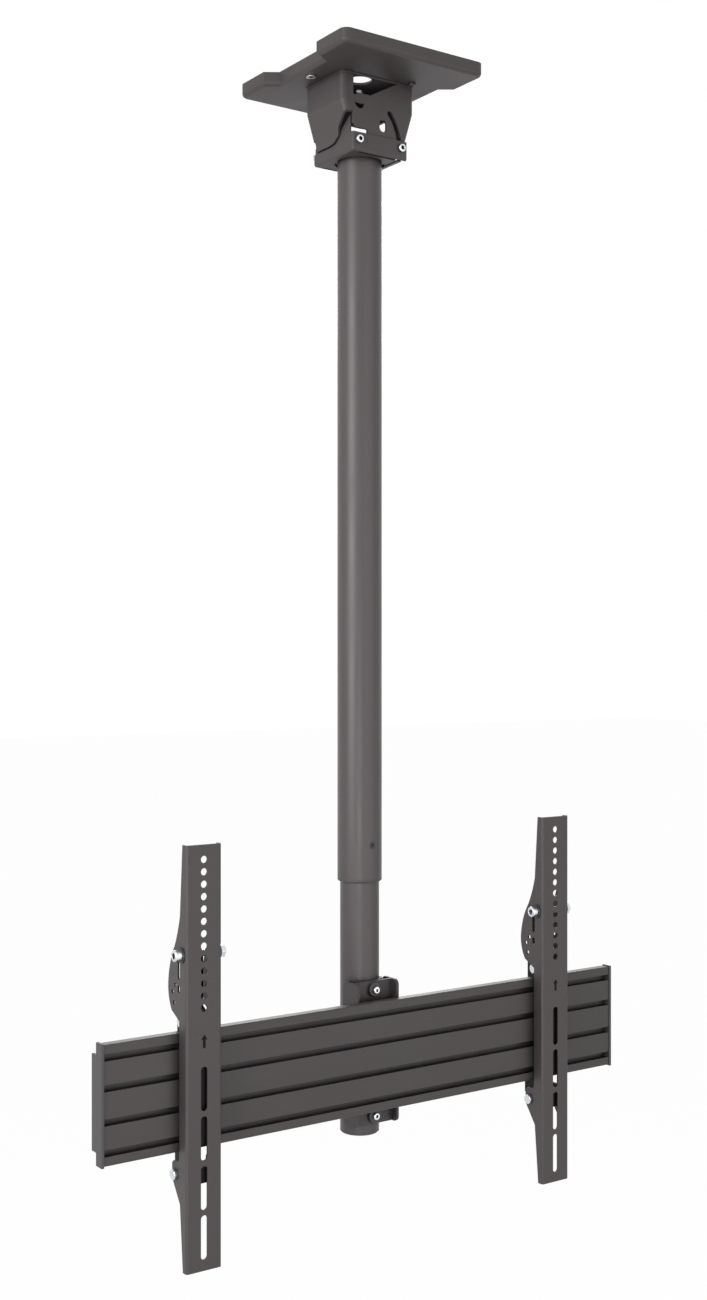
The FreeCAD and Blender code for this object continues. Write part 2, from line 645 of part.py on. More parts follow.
def carrier_side(x):
    """One side plate of the carrier: tabs reach forward above and below the rail's back body."""
    z_low, z_high = RAIL_MID_Z - CARRIER_HALF_H, RAIL_MID_Z + CARRIER_HALF_H
    body = BODY_H / 2 + SHEET_CLEAR
    back = rail_back_y()
    front = RAIL_FRONT_Y + LIP_DEPTH + SHEET_CLEAR
    outline = [(CARRIER_BACK_Y, z_low), (CARRIER_BACK_Y, z_high), (front, z_high),
               (front, RAIL_MID_Z + body), (back, RAIL_MID_Z + body),
               (back, RAIL_MID_Z - body), (front, RAIL_MID_Z - body), (front, z_low)]
    plate = side_prism(outline, x, x + math.copysign(CARRIER_T, x))

    def outer_corner(edge):
        bounds = edge.BoundBox
        at_end = min(abs(bounds.ZMin - z_low), abs(bounds.ZMin - z_high)) < 1e-6
        return bounds.ZLength < 1e-6 and bounds.YLength < 1e-6 and at_end
    return round_edges(plate, CARRIER_CORNER_R, outer_corner)


def saddle(z0, z1):
    """Curved plate against the front of the inner tube."""
    bore = INNER_D / 2 + FIT
    curve = ring(bore + CARRIER_T, bore, z0, z1)
    reach = 2 * INNER_D
    side = math.radians(SADDLE_ANGLE)
    fan = [(0, 0), (-reach * math.sin(side), -reach * math.cos(side)), (0, -2 * reach),
           (reach * math.sin(side), -reach * math.cos(side))]
    return curve.common(plan_prism(fan, z0, z1))


def carrier_bracket():
    """Welded carrier: two side plates, a web behind the rail and two saddles on the pole."""
    side_in = CARRIER_HALF_X - CARRIER_T
    z_low, z_high = RAIL_MID_Z - CARRIER_HALF_H, RAIL_MID_Z + CARRIER_HALF_H
    back = rail_back_y()
    web = box((-CARRIER_HALF_X, CARRIER_HALF_X), (back, back + CARRIER_T), (z_low, z_high))
    parts = [web, carrier_side(side_in), carrier_side(-side_in)]
    parts += [saddle(z_low, z_low + SADDLE_H), saddle(z_high - SADDLE_H, z_high)]
    bracket = fuse(parts)
    for z in carrier_bolt_heights():
        bracket = bracket.cut(rod(CARRIER_BOLT_D / 2 + FIT, (0, RAIL_FRONT_Y, z), (0, 0, z)))
    for x, z in rail_bolt_places():
        bracket = bracket.cut(rod(RAIL_BOLT_D / 2 + FIT, (x, RAIL_FRONT_Y, z), (x, 0, z)))
    return bracket


def rail_bolt_places():
    """The four bolts from the carrier into the rail."""
    heights = (RAIL_MID_Z - RAIL_BOLT_OFFSET, RAIL_MID_Z + RAIL_BOLT_OFFSET)
    return [(x, z) for x in (-RAIL_BOLT_X, RAIL_BOLT_X) for z in heights]


def carrier_bosses():
    """Round bosses under the heads of the carrier's bolts."""
    face = rail_back_y()
    bosses = []
    for z in carrier_bolt_heights():
        boss = rod(BOSS_R, (0, face - BOSS_H, z), (0, face, z))
        boss = round_edges(boss, 1, lambda e: e.Closed and e.Vertexes[0].Y < face - 1)
        bosses.append(boss.cut(rod(CARRIER_BOLT_D / 2 + FIT, (0, face - BOSS_H - 1, z), (0, face + 1, z))))
    return group(bosses)


def carrier_bolts():
    """Bolts through the carrier and the pole."""
    face = rail_back_y() - BOSS_H
    back = INNER_D / 2 + NUT_H + 2
    bolts = []
    for z in carrier_bolt_heights():
        shank = rod(CARRIER_BOLT_D / 2, (0, face, z), (0, back, z))
        head = rod(CARRIER_HEAD_D / 2, (0, face - CARRIER_HEAD_H, z), (0, face, z))
        head = round_edges(head, 1, lambda e: e.Closed and e.Vertexes[0].Y < face - 1)
        socket = hexagon(CARRIER_SOCKET, (0, face - CARRIER_HEAD_H - 1, z), (0, face - 1, z))
        bolts.append(fuse([shank, head.cut(socket)]))
    return group(bolts)


def carrier_nuts():
    """Nuts of the carrier's bolts, on curved washers behind the pole."""
    nuts = []
    for z in carrier_bolt_heights():
        start = INNER_D / 2 + FIT
        pad = box((-BOSS_R, BOSS_R), (INNER_D / 4, start + 2), (z - BOSS_R, z + BOSS_R))
        pad = pad.cut(rod(INNER_D / 2 + FIT, (0, 0, z - 2 * BOSS_R), (0, 0, z + 2 * BOSS_R)))
        nut = hexagon(NUT_ACROSS, (0, start + 2, z), (0, start + 2 + NUT_H - 2, z))
        bore = rod(CARRIER_BOLT_D / 2, (0, 0, z), (0, 2 * INNER_D, z))
        nuts.append(fuse([pad, nut]).cut(bore))
    return group(nuts)


def rail_bolts():
    """Hexagon bolts that hold the rail to the carrier's web."""
    seat = rail_back_y() + CARRIER_T
    bolts = []
    for x, z in rail_bolt_places():
        head = hexagon(NUT_ACROSS, (x, seat, z), (x, seat + 4, z))
        shank = rod(RAIL_BOLT_D / 2, (x, seat, z), (x, nut_bar_y()[0], z))
        bolts.append(fuse([head, shank]))
    return group(bolts)


def nut_bar_y():
    """Front and rear faces of the nut bars inside the rail."""
    return (RAIL_FRONT_Y + LIP_DEPTH + RAIL_WALL - 1, rail_back_y() - RAIL_WALL)


def nut_bars():
    """Threaded bars inside the rail's two chambers."""
    bars = []
    for z in (-RAIL_BOLT_OFFSET, RAIL_BOLT_OFFSET):
        mid = RAIL_MID_Z + z
        bar = box((-CARRIER_HALF_X, CARRIER_HALF_X), nut_bar_y(), (mid - NUT_BAR_H / 2, mid + NUT_BAR_H / 2))
        for x in (-RAIL_BOLT_X, RAIL_BOLT_X):
            bar = bar.cut(rod(RAIL_BOLT_D / 2, (x, RAIL_FRONT_Y, mid), (x, 0, mid)))
        bars.append(bar)
    return group(bars)


def rail_outline(margin):
    """The rail's section in Y and Z: a tall front with lips, and a narrower body behind."""
    front = RAIL_FRONT_Y - margin
    lip = RAIL_FRONT_Y + LIP_DEPTH + margin
    back = rail_back_y() + margin
    tall = RAIL_H / 2 + margin
    body = BODY_H / 2 + margin
    return [(front, RAIL_MID_Z - tall), (lip, RAIL_MID_Z - tall), (lip, RAIL_MID_Z - body),
            (back, RAIL_MID_Z - body), (back, RAIL_MID_Z + body), (lip, RAIL_MID_Z + body),
            (lip, RAIL_MID_Z + tall), (front, RAIL_MID_Z + tall)]


def chamber(sign, inset, x):
    """One hollow of the rail's body, as a block between two X values."""
    low = RAIL_MID_Z + sign * (RAIL_WALL + inset)
    high = RAIL_MID_Z + sign * (BODY_H / 2 - RAIL_WALL - inset)
    front = RAIL_FRONT_Y + LIP_DEPTH + RAIL_WALL - 1
    return box(x, (front + inset, rail_back_y() - RAIL_WALL - inset), (low, high))


def rail():
    """Extruded rail with four undercut grooves in front and two chambers behind."""
    half = RAIL_LENGTH / 2 - CAP_T
    bar = side_prism(rail_outline(0), -half, half)

    def front_long(edge):
        return edge.BoundBox.XLength > half and abs(edge.Vertexes[0].Y - RAIL_FRONT_Y) < 1e-6
    bar = round_edges(bar, RAIL_EDGE_R, front_long)
    past = (-half - 1, half + 1)
    for offset in GROOVE_OFFSETS:
        z = RAIL_MID_Z + offset
        mouth = box(past, (RAIL_FRONT_Y - 1, RAIL_FRONT_Y + GROOVE_DEPTH),
                    (z - GROOVE_OPEN / 2, z + GROOVE_OPEN / 2))
        pocket = box(past, (RAIL_FRONT_Y + GROOVE_LIP, RAIL_FRONT_Y + GROOVE_DEPTH),
                     (z - GROOVE_POCKET / 2, z + GROOVE_POCKET / 2))
        bar = bar.cut(fuse([mouth, pocket]))
    for sign in (-1, 1):
        bar = bar.cut(chamber(sign, 0, past))
    for x, z in rail_bolt_places():
        bar = bar.cut(rod(RAIL_BOLT_D / 2 + FIT, (x, nut_bar_y()[0], z), (x, 0, z)))
    return bar


def end_cap():
    """Cap on the rail's right end: a T-shaped plate with two tongues in the chambers."""
    half = RAIL_LENGTH / 2 - CAP_T
    plate = side_prism(rail_outline(CAP_MARGIN), half, half + CAP_T)
    plate = round_edges(plate, 1, lambda e: e.BoundBox.XLength < 1e-6 and e.Vertexes[0].X > half + 1)
    tongues = []
    for sign in (-1, 1):
        block = chamber(sign, FIT, (half - CAP_TONGUE, half))
        tongues.append(block.cut(chamber(sign, RAIL_WALL, (half - CAP_TONGUE - 1, half))))
    return fuse([plate] + tongues)


def arm_back_edges(x):
    """The rear outline of an arm's flange, bulged over the hook bracket's finger and the hinge."""
    def at(place):
        return Vector(x, ARM_FRONT_Y + place[0], place[1])

    def arc(a, b, c):
        return Part.Arc(at(a), at(b), at(c)).toShape()

    def line(a, b):
        return Part.LineSegment(at(a), at(b)).toShape()
    bulge = [(depth, TILT_BOLT[1] + height) for depth, height in BULGE]
    foot = [(HINGE[0] + depth, HINGE[1] + height) for depth, height in FOOT_LOBE]
    waist = (ARM_WAIST_DEPTH, TILT_BOLT[1] + BULGE[-1][1] - HOOK_CHAMFER)
    corners = [foot[-1], (ARM_BOTTOM_DEPTH, ARM_BOTTOM), (0, ARM_BOTTOM), (0, ARM_TOP),
               (ARM_TOP_DEPTH, ARM_TOP), bulge[0]]
    edges = [arc(*bulge[0:3]), arc(*bulge[2:5]), arc(*bulge[4:7]), arc(bulge[6], bulge[7], waist)]
    edges += [line(waist, foot[0])] + [line(a, b) for a, b in zip(foot, foot[1:])]
    return edges + [line(a, b) for a, b in zip(corners, corners[1:])]


def arm():
    """Right screen arm: folded channel with its holes, slots and bulged flanges."""
    x0, x1 = ARM_X - ARM_W / 2, ARM_X + ARM_W / 2
    channel = Part.Face(Part.Wire(arm_back_edges(x0))).extrude(Vector(ARM_W, 0, 0))
    inner = box((x0 + ARM_T, x1 - ARM_T), (ARM_FRONT_Y + ARM_T, 0), (ARM_BOTTOM - 1, ARM_TOP + 1))

    def in_front(edge):
        return upright(edge) and edge.Vertexes[0].Y < ARM_FRONT_Y + ARM_T + 1e-6
    channel = round_edges(channel, ARM_BEND_R, in_front)
    channel = channel.cut(round_edges(inner, ARM_BEND_R - ARM_T, in_front))
    face = (ARM_FRONT_Y - 1, ARM_FRONT_Y + ARM_T + 1)
    for step in range(HOLE_COUNT):
        z = HOLE_TOP - step * HOLE_PITCH
        channel = channel.cut(rod(HOLE_W / 2, (ARM_X, face[0], z), (ARM_X, face[1], z)))
    for step in range(SLOT_COUNT):
        z = SLOT_TOP - step * SLOT_STEP
        channel = channel.cut(slot_through(ARM_X, face, z - SLOT_LENGTH, z, HOLE_W))
    for cutter in flange_holes(x0 - 1, x1 + 1):
        channel = channel.cut(cutter)
    return channel


def across(place, diameter, x0, x1):
    """A round bar along X at a depth behind the arm's face and a height."""
    s, z = place
    return rod(diameter / 2, (x0, ARM_FRONT_Y + s, z), (x1, ARM_FRONT_Y + s, z))


def flange_holes(x0, x1):
    """Cutters through both flanges of an arm."""
    cutters = [across(TILT_BOLT, TILT_BOLT_D + 2 * FIT, x0, x1), across(HINGE, HINGE_D + 2 * FIT, x0, x1)]
    datum = TILT_BOLT[1]
    cutters += [across((s, datum + height), GAUGE_D, x0, x1) for s, height in GAUGE_HOLES]
    for s, high, low, width in (LEVEL_SLOT, LEVEL_HOLE):
        z_high, z_low = datum + high - width / 2, datum + low + width / 2
        ends = [across((s, z), width, x0, x1) for z in (z_high, z_low)]
        y = ARM_FRONT_Y + s
        middle = box((x0, x1), (y - width / 2, y + width / 2), (z_low, z_high))
        cutters.append(fuse(ends + [middle]))
    return cutters


def hook_outline():
    """Side of the hook bracket: finger above, hook over the rail's top lip, jaw under the bottom lip."""
    lip_top, lip_low = RAIL_TOP + HOOK_CLEAR, RAIL_LOW - HOOK_CLEAR
    front = RAIL_FRONT_Y - ARM_FRONT_Y - HOOK_CLEAR
    behind = RAIL_FRONT_Y + LIP_DEPTH - ARM_FRONT_Y + HOOK_CLEAR
    drop = lip_top - HOOK_DROP
    bevel = HOOK_CHAMFER
    depth_height = [(HOOK_FRONT_S, HOOK_BOTTOM), (HINGE[0] + bevel, HOOK_BOTTOM), (JAW_REACH, JAW_BLOCK_LOW),
                    (JAW_REACH, lip_low - bevel), (JAW_REACH - bevel, lip_low),
                    (front, lip_low), (front, lip_top), (behind, lip_top), (behind, drop),
                    (HOOK_REACH, drop), (HOOK_REACH, HOOK_TOP - bevel),
                    (FINGER_BACK_S, HOOK_TOP), (FINGER_BACK_S, FINGER_TOP - bevel),
                    (FINGER_BACK_S - bevel, FINGER_TOP), (FINGER_FRONT_S + bevel, FINGER_TOP),
                    (FINGER_FRONT_S, FINGER_TOP - bevel), (FINGER_FRONT_S, HOOK_TOP),
                    (HOOK_FRONT_S, HOOK_TOP - 2 * bevel)]
    return [(ARM_FRONT_Y + s, z) for s, z in depth_height]


def hook_bracket():
    """Right hook bracket: two cheeks on a web, with a threaded block in the jaw."""
    x0, x1 = ARM_X - HOOK_HALF_X, ARM_X + HOOK_HALF_X
    whole = side_prism(hook_outline(), x0, x1)
    inside = (x0 + HOOK_T, x1 - HOOK_T)
    bracket = whole.cut(box(inside, (ARM_FRONT_Y + HOOK_FRONT_S + HOOK_T, 0), (HOOK_BOTTOM - 1, 0)))
    window = (RAIL_LOW - WINDOW_BELOW, RAIL_LOW + WINDOW_ABOVE)
    bracket = bracket.cut(box((inside[0], x1 + 1), (ARM_FRONT_Y, 0), window))
    depth = (ARM_FRONT_Y + JAW_SCREW_S - JAW_SCREW_D, ARM_FRONT_Y + JAW_SCREW_S + JAW_SCREW_D)
    block = box(inside, depth, (JAW_BLOCK_LOW, JAW_BLOCK_LOW + JAW_BLOCK_H))
    bracket = fuse([bracket, block])
    y = ARM_FRONT_Y + JAW_SCREW_S
    bracket = bracket.cut(rod(JAW_SCREW_D / 2 + FIT, (ARM_X, y, HOOK_BOTTOM - 1), (ARM_X, y, RAIL_LOW)))
    for place, diameter in ((CROSS_BOLT, CROSS_BOLT_D), (HINGE, HINGE_D)):
        bracket = bracket.cut(across(place, diameter + 2 * FIT, x0 - 1, x1 + 1))
    return bracket


def jaw_screw():
    """Screw from below that stands behind the rail's lower lip, so that the bracket can't lift off."""
    y = ARM_FRONT_Y + JAW_SCREW_S
    tip = RAIL_MID_Z - BODY_H / 2 - 2
    shank = rod(JAW_SCREW_D / 2, (ARM_X, y, JAW_BLOCK_LOW), (ARM_X, y, tip))
    head = hexagon(NUT_ACROSS, (ARM_X, y, JAW_BLOCK_LOW - HINGE_HEAD_H), (ARM_X, y, JAW_BLOCK_LOW))
    return fuse([shank, head])


def cross_bolt():
    """Bolt through the hook bracket above the rail, with its nut."""
    left, right = ARM_X - HOOK_HALF_X, ARM_X + HOOK_HALF_X
    y, z = ARM_FRONT_Y + CROSS_BOLT[0], CROSS_BOLT[1]
    shank = across(CROSS_BOLT, CROSS_BOLT_D, left, right + NUT_H)
    head = across(CROSS_BOLT, CROSS_HEAD_D, left - CROSS_HEAD_H, left)
    head = round_edges(head, 2, lambda e: e.Closed and e.Vertexes[0].X < left - 1)
    nut = hexagon(NUT_ACROSS, (right, y, z), (right + NUT_H, y, z))
    return fuse([shank, head, nut])


def tilt_bolt():
    """Upper bolt across the arm."""
    left, right = ARM_X - ARM_W / 2 - WASHER_T, ARM_X + ARM_W / 2 + WASHER_T
    shank = across(TILT_BOLT, TILT_BOLT_D, left, right + TILT_NUT_H + 2)
    head = across(TILT_BOLT, TILT_HEAD_D, left - TILT_HEAD_H, left)
    head = round_edges(head, 1.5, lambda e: e.Closed and e.Vertexes[0].X < left - 1)
    y, z = ARM_FRONT_Y + TILT_BOLT[0], TILT_BOLT[1]
    tip = left - TILT_HEAD_H
    socket = hexagon(TILT_HEAD_D / 2, (tip - 1, y, z), (tip + TILT_SOCKET_DEPTH, y, z))
    return fuse([shank, head.cut(socket)])


def tilt_nut():
    """Nut of the upper bolt."""
    right = ARM_X + ARM_W / 2 + WASHER_T
    y, z = ARM_FRONT_Y + TILT_BOLT[0], TILT_BOLT[1]
    nut = hexagon(TILT_HEAD_D, (right, y, z), (right + TILT_NUT_H, y, z))
    return nut.cut(across(TILT_BOLT, TILT_BOLT_D, right - 1, right + 2 * TILT_NUT_H))


def tilt_washers():
    """Black washers under the upper bolt's head and nut."""
    washers = []
    for start, turn in ((ARM_X - ARM_W / 2, -1), (ARM_X + ARM_W / 2, 1)):
        disc = across(TILT_BOLT, WASHER_D, start, start + turn * WASHER_T)
        washers.append(disc.cut(across(TILT_BOLT, TILT_BOLT_D, start - 2 * WASHER_T, start + 2 * WASHER_T)))
    return group(washers)


def hinge_bolt():
    """Lower bolt, which the arm turns on."""
    left, right = ARM_X - ARM_W / 2 - FIT, ARM_X + ARM_W / 2 + FIT
    shank = across(HINGE, HINGE_D, left, right + NUT_H + 1)
    head = across(HINGE, HINGE_HEAD_D, left - HINGE_HEAD_H, left)
    return fuse([shank, round_edges(head, 1, lambda e: e.Closed and e.Vertexes[0].X < left - 1)])


def hinge_nut():
    """Nut of the lower bolt."""
    right = ARM_X + ARM_W / 2 + FIT
    y, z = ARM_FRONT_Y + HINGE[0], HINGE[1]
    nut = hexagon(NUT_ACROSS, (right, y, z), (right + NUT_H, y, z))
    return nut.cut(across(HINGE, HINGE_D, right - 1, right + 2 * NUT_H))


def hinge_spacers():
    """Spacers on the lower bolt between the hook bracket and the arm's flanges."""
    spacers = []
    for side in (-1, 1):
        near = ARM_X + side * HOOK_HALF_X
        far = ARM_X + side * (ARM_W / 2 - ARM_T - FIT)
        tube = across(HINGE, SPACER_D, near, far)
        spacers.append(tube.cut(across(HINGE, HINGE_D, ARM_X - ARM_W, ARM_X + ARM_W)))
    return group(spacers)


def arm_pieces():
    """The right arm's nodes by their short names."""
    return {"arm": arm(), "hook_bracket": hook_bracket(), "jaw_screw": jaw_screw(),
            "cross_bolt": cross_bolt(), "tilt_bolt": tilt_bolt(), "tilt_nut": tilt_nut(),
            "tilt_washers": tilt_washers(), "hinge_bolt": hinge_bolt(), "hinge_nut": hinge_nut(),
            "hinge_spacers": hinge_spacers()}


def all_nodes():
    """Every node's name with its shape."""
    nodes = {"ceiling_plate": ceiling_plate(), "anchor_screws": anchor_screws(), "yoke": yoke(),
             "safety_bolt": safety_bolt(), "earth_screw": earth_screw(), "head_block": head_block(),
             "pivot_bolt": socket_bolt(-BOLT_X, BLOCK_Y / 2 + NUT_H + 1),
             "pivot_nut": head_nut(-BOLT_X, BLOCK_Y / 2),
             "slot_bolt": socket_bolt(BOLT_X, -YOKE_Y / 2 + YOKE_T + NUT_H),
             "slot_nut": head_nut(BOLT_X, -YOKE_Y / 2 + YOKE_T + FIT),
             "outer_tube": outer_tube(), "pole_flange": pole_flange(), "lock_screw": lock_screw(),
             "guide_bush": guide_bush(), "inner_tube": inner_tube(), "top_guide": top_guide(),
             "end_ring": end_ring(), "carrier_bracket": carrier_bracket(), "carrier_bosses": carrier_bosses(),
             "carrier_bolts": carrier_bolts(), "carrier_nuts": carrier_nuts(), "rail_bolts": rail_bolts(),
             "nut_bars": nut_bars(), "rail": rail(), "end_cap_right": end_cap(),
             "end_cap_left": mirrored(end_cap())}
    for name, shape in arm_pieces().items():
        nodes[name + "_right"] = shape
        nodes[name + "_left"] = shape.translated(Vector(-2 * ARM_X, 0, 0))
    return nodes


def main():
    """Writes one STEP file per node."""
    os.makedirs("parts", exist_ok=True)
    for name, shape in all_nodes().items():
        shape.exportStep("parts/" + name + ".step")
        print(name, len(shape.Solids), round(shape.Volume), shape.isValid())


main()
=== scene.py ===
"""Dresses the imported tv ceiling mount.

The finishes are powder-coated sheet steel, drawn tube, extruded rail, moulded plastic and zinc plate.
"""
import json
import math

import bpy
from bpy.props import FloatProperty, FloatVectorProperty, PointerProperty
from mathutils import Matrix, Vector


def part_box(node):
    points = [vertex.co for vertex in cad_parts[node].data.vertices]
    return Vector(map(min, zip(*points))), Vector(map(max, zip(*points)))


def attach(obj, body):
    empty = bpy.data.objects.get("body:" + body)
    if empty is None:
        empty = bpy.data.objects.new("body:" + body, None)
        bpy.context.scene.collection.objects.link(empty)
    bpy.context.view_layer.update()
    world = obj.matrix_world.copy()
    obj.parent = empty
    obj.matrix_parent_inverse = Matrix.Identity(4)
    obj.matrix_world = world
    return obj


bl_info = {
    "name": "TV Ceiling Mount Finish",
    "version": (1, 0, 0),
    "blender": (4, 5, 0),
    "location": "View3D > Sidebar > Mount",
    "description": "Finishes a pole-hung tv ceiling mount and sets up its studio",
    "category": "Object",
}

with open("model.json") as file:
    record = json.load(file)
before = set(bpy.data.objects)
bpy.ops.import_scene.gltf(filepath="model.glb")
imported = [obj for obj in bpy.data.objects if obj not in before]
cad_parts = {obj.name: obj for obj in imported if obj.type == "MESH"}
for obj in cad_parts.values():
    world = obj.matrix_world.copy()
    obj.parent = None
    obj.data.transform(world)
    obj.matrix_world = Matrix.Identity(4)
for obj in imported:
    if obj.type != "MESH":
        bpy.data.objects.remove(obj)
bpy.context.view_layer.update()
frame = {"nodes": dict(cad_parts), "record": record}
NODES = frame["nodes"]
RECORD = frame["record"]
SLOT_OF = {part["node"]: part["material_slot"] for part in RECORD["subparts"]}
COLOUR_OF = {material["slot"]: material["base_color"] for material in RECORD["materials"]}
SIDES = ("right", "left")
VECTOR, FLOAT = "NodeSocketVector", "NodeSocketFloat"

# How light each piece is beside the coat colour.
TUBE_TONE = 1.26
PLATE_TONE = 0.85
CARRIER_TONE = 0.72
# The hook brackets' dark tone is painted shade inside their channels.
HOOK_SHADE_TONE = 0.3

# How deep the relief of each finish is, in metres.
COAT_DEPTH = 0.00005
CARRIER_DEPTH = 0.00012
TUBE_DEPTH = 0.00003
RAIL_DEPTH = 0.00004
PLASTIC_DEPTH = 0.00004
PLATING_DEPTH = 0.00002

DUST = (0.42, 0.41, 0.39, 1.0)
# Painted shade: the colour the zinc goes dark to in sockets and crevices.
BOLT_SOCKET_SHADE = (0.02, 0.018, 0.017, 1.0)
INK = (0.006, 0.006, 0.006)
ZINC_COOL_TINT = (0.86, 0.9, 0.97)
ZINC_ROUGHNESS = (0.2, 0.4)
FLOOR_DARK = (0.86, 0.86, 0.86, 1.0)
FLOOR_LIGHT = (0.89, 0.89, 0.89, 1.0)
WHITE = (1.0, 1.0, 1.0, 1.0)

PEEL_SHARE = 0.21               # orange peel's scale beside the pebbles'
BROAD_LINE_SHARE = 0.14         # broad lines' scale beside the fine ones'
LINE_STRETCH = (0.012, 1.0, 1.0)
SHADE_RIM_REACH = 4.0                 # how many times further the painted shade's wider part reaches than its core
ARROW_POINT_SHARE = 0.02        # width left at the arrow's point, beside its head

FLOOR_SIDE = 60
CAMERA_FRAME = 36               # long side of the camera's frame, in millimetres
VIEW_LIMIT = 200

MOUNT_MIDDLE = (0, 0, -0.65)
YOKE_MOUTH = (0, 0, -0.05)

# Name, place, aim, the setting of its power and side of each lamp.
LAMPS = (
    ("key_light", (-2.9, -0.7, -0.2), MOUNT_MIDDLE, "key_power", 1.6),
    ("fill_light", (0.7, -3.0, -0.7), MOUNT_MIDDLE, "fill_power", 3.0),
    ("back_light", (1.9, 2.7, 1.0), MOUNT_MIDDLE, "back_power", 1.4),
    ("low_light", (-1.4, -1.95, -1.15), YOKE_MOUTH, "low_power", 0.5),
)


class FinishSizes(bpy.types.PropertyGroup):
    """Colours and surface sizes of the finishes."""
    coat_colour: FloatVectorProperty(
        name="Coat colour", description="Charcoal powder coat on the steel",
        subtype="COLOR", size=3, min=0, max=1, default=(0.060, 0.0515, 0.0528))
    rail_colour: FloatVectorProperty(
        name="Rail colour", description="Coat on the extruded rail",
        subtype="COLOR", size=3, min=0, max=1, default=(0.050, 0.0428, 0.0436))
    plastic_colour: FloatVectorProperty(
        name="Plastic colour", description="Moulded caps, bush, guide and ring",
        subtype="COLOR", size=3, min=0, max=1, default=COLOUR_OF["black_plastic"])
    zinc_colour: FloatVectorProperty(
        name="Zinc colour", description="Plating on the fasteners",
        subtype="COLOR", size=3, min=0, max=1, default=COLOUR_OF["bright_zinc"])
    black_colour: FloatVectorProperty(
        name="Blackened colour", description="Washers, bosses, earth screw, grub screw and pole flange",
        subtype="COLOR", size=3, min=0, max=1, default=COLOUR_OF["black_steel"])
    grain_size: FloatProperty(
        name="Grain size", description="Width of one pebble in the powder coat",
        subtype="DISTANCE", unit="LENGTH", min=0.0001, max=0.01, default=0.0011)
    edge_radius: FloatProperty(
        name="Edge radius", description="Rounding that the coat gives to a cut edge",
        subtype="DISTANCE", unit="LENGTH", min=0.0, max=0.005, default=0.0007)


class MarkSizes(bpy.types.PropertyGroup):
    """The arrow on the face of each screen arm."""
    tip_height: FloatProperty(
        name="Tip height", description="Height of the arrow's tip",
        subtype="DISTANCE", unit="LENGTH", default=-1.0366)
    length: FloatProperty(
        name="Length", description="Whole length of the arrow",
        subtype="DISTANCE", unit="LENGTH", min=0.001, default=0.0135)
    head_length: FloatProperty(
        name="Head length", description="Length of the arrow's head",
        subtype="DISTANCE", unit="LENGTH", min=0.001, default=0.005)
    head_width: FloatProperty(
        name="Head width", description="Width of the arrow's head",
        subtype="DISTANCE", unit="LENGTH", min=0.001, default=0.0070)
    shaft_width: FloatProperty(
        name="Shaft width", description="Width of the arrow's shaft",
        subtype="DISTANCE", unit="LENGTH", min=0.0002, default=0.0030)
    thickness: FloatProperty(
        name="Thickness", description="How far the printed arrow stands off the arm",
        subtype="DISTANCE", unit="LENGTH", min=0.00005, default=0.00012)


class StudioSizes(bpy.types.PropertyGroup):
    """Camera, lights and floor."""
    camera_place: FloatVectorProperty(
        name="Camera place", description="Where the photograph was taken from",
        subtype="TRANSLATION", unit="LENGTH", size=3, default=(-1.0229, -1.4657, -0.6485))
    camera_turn: FloatProperty(
        name="Camera turn", description="Turn of the camera to the right of straight ahead",
        subtype="ANGLE", unit="ROTATION", default=math.radians(34.69))
    lens: FloatProperty(
        name="Lens", description="Focal length on a frame 36 mm tall",
        subtype="DISTANCE_CAMERA", unit="CAMERA", min=1, default=43.9)
    floor_height: FloatProperty(
        name="Floor height", description="The floor below the hanging mount",
        subtype="DISTANCE", unit="LENGTH", default=-2.5)
    key_power: FloatProperty(
        name="Key light", description="Power of the large light on the left",
        unit="POWER", min=0, default=66)
    fill_power: FloatProperty(
        name="Fill light", description="Power of the wide soft light in front",
        unit="POWER", min=0, default=29)
    back_power: FloatProperty(
        name="Back light", description="Power of the wide light behind, on the right",
        unit="POWER", min=0, default=60)
    low_power: FloatProperty(
        name="Low light", description="Power of the light that reaches up into the yoke",
        unit="POWER", min=0, default=12)
    sky_strength: FloatProperty(
        name="Room light", description="Brightness of the room all round",
        min=0, default=0.25)


def deselect_everything():
    """Leaves object mode with nothing selected."""
    if bpy.context.object and bpy.context.object.mode != "OBJECT":
        bpy.ops.object.mode_set(mode="OBJECT")
    bpy.ops.object.select_all(action="DESELECT")


def settle(piece):
    """Puts the object at the origin, its place in its mesh."""
    deselect_everything()
    piece.select_set(True)
    bpy.context.view_layer.objects.active = piece
    bpy.ops.object.transform_apply(location=True, rotation=True, scale=True)
    piece.select_set(False)


def select_edges(mesh, test):
    """Selects the edges whose two ends both pass the test, in object mode."""
    for face in mesh.polygons:
        face.select = False
    for vertex in mesh.vertices:
        vertex.select = False
    for edge in mesh.edges:
        ends = [mesh.vertices[i].co for i in edge.vertices]
        edge.select = all(test(end) for end in ends)


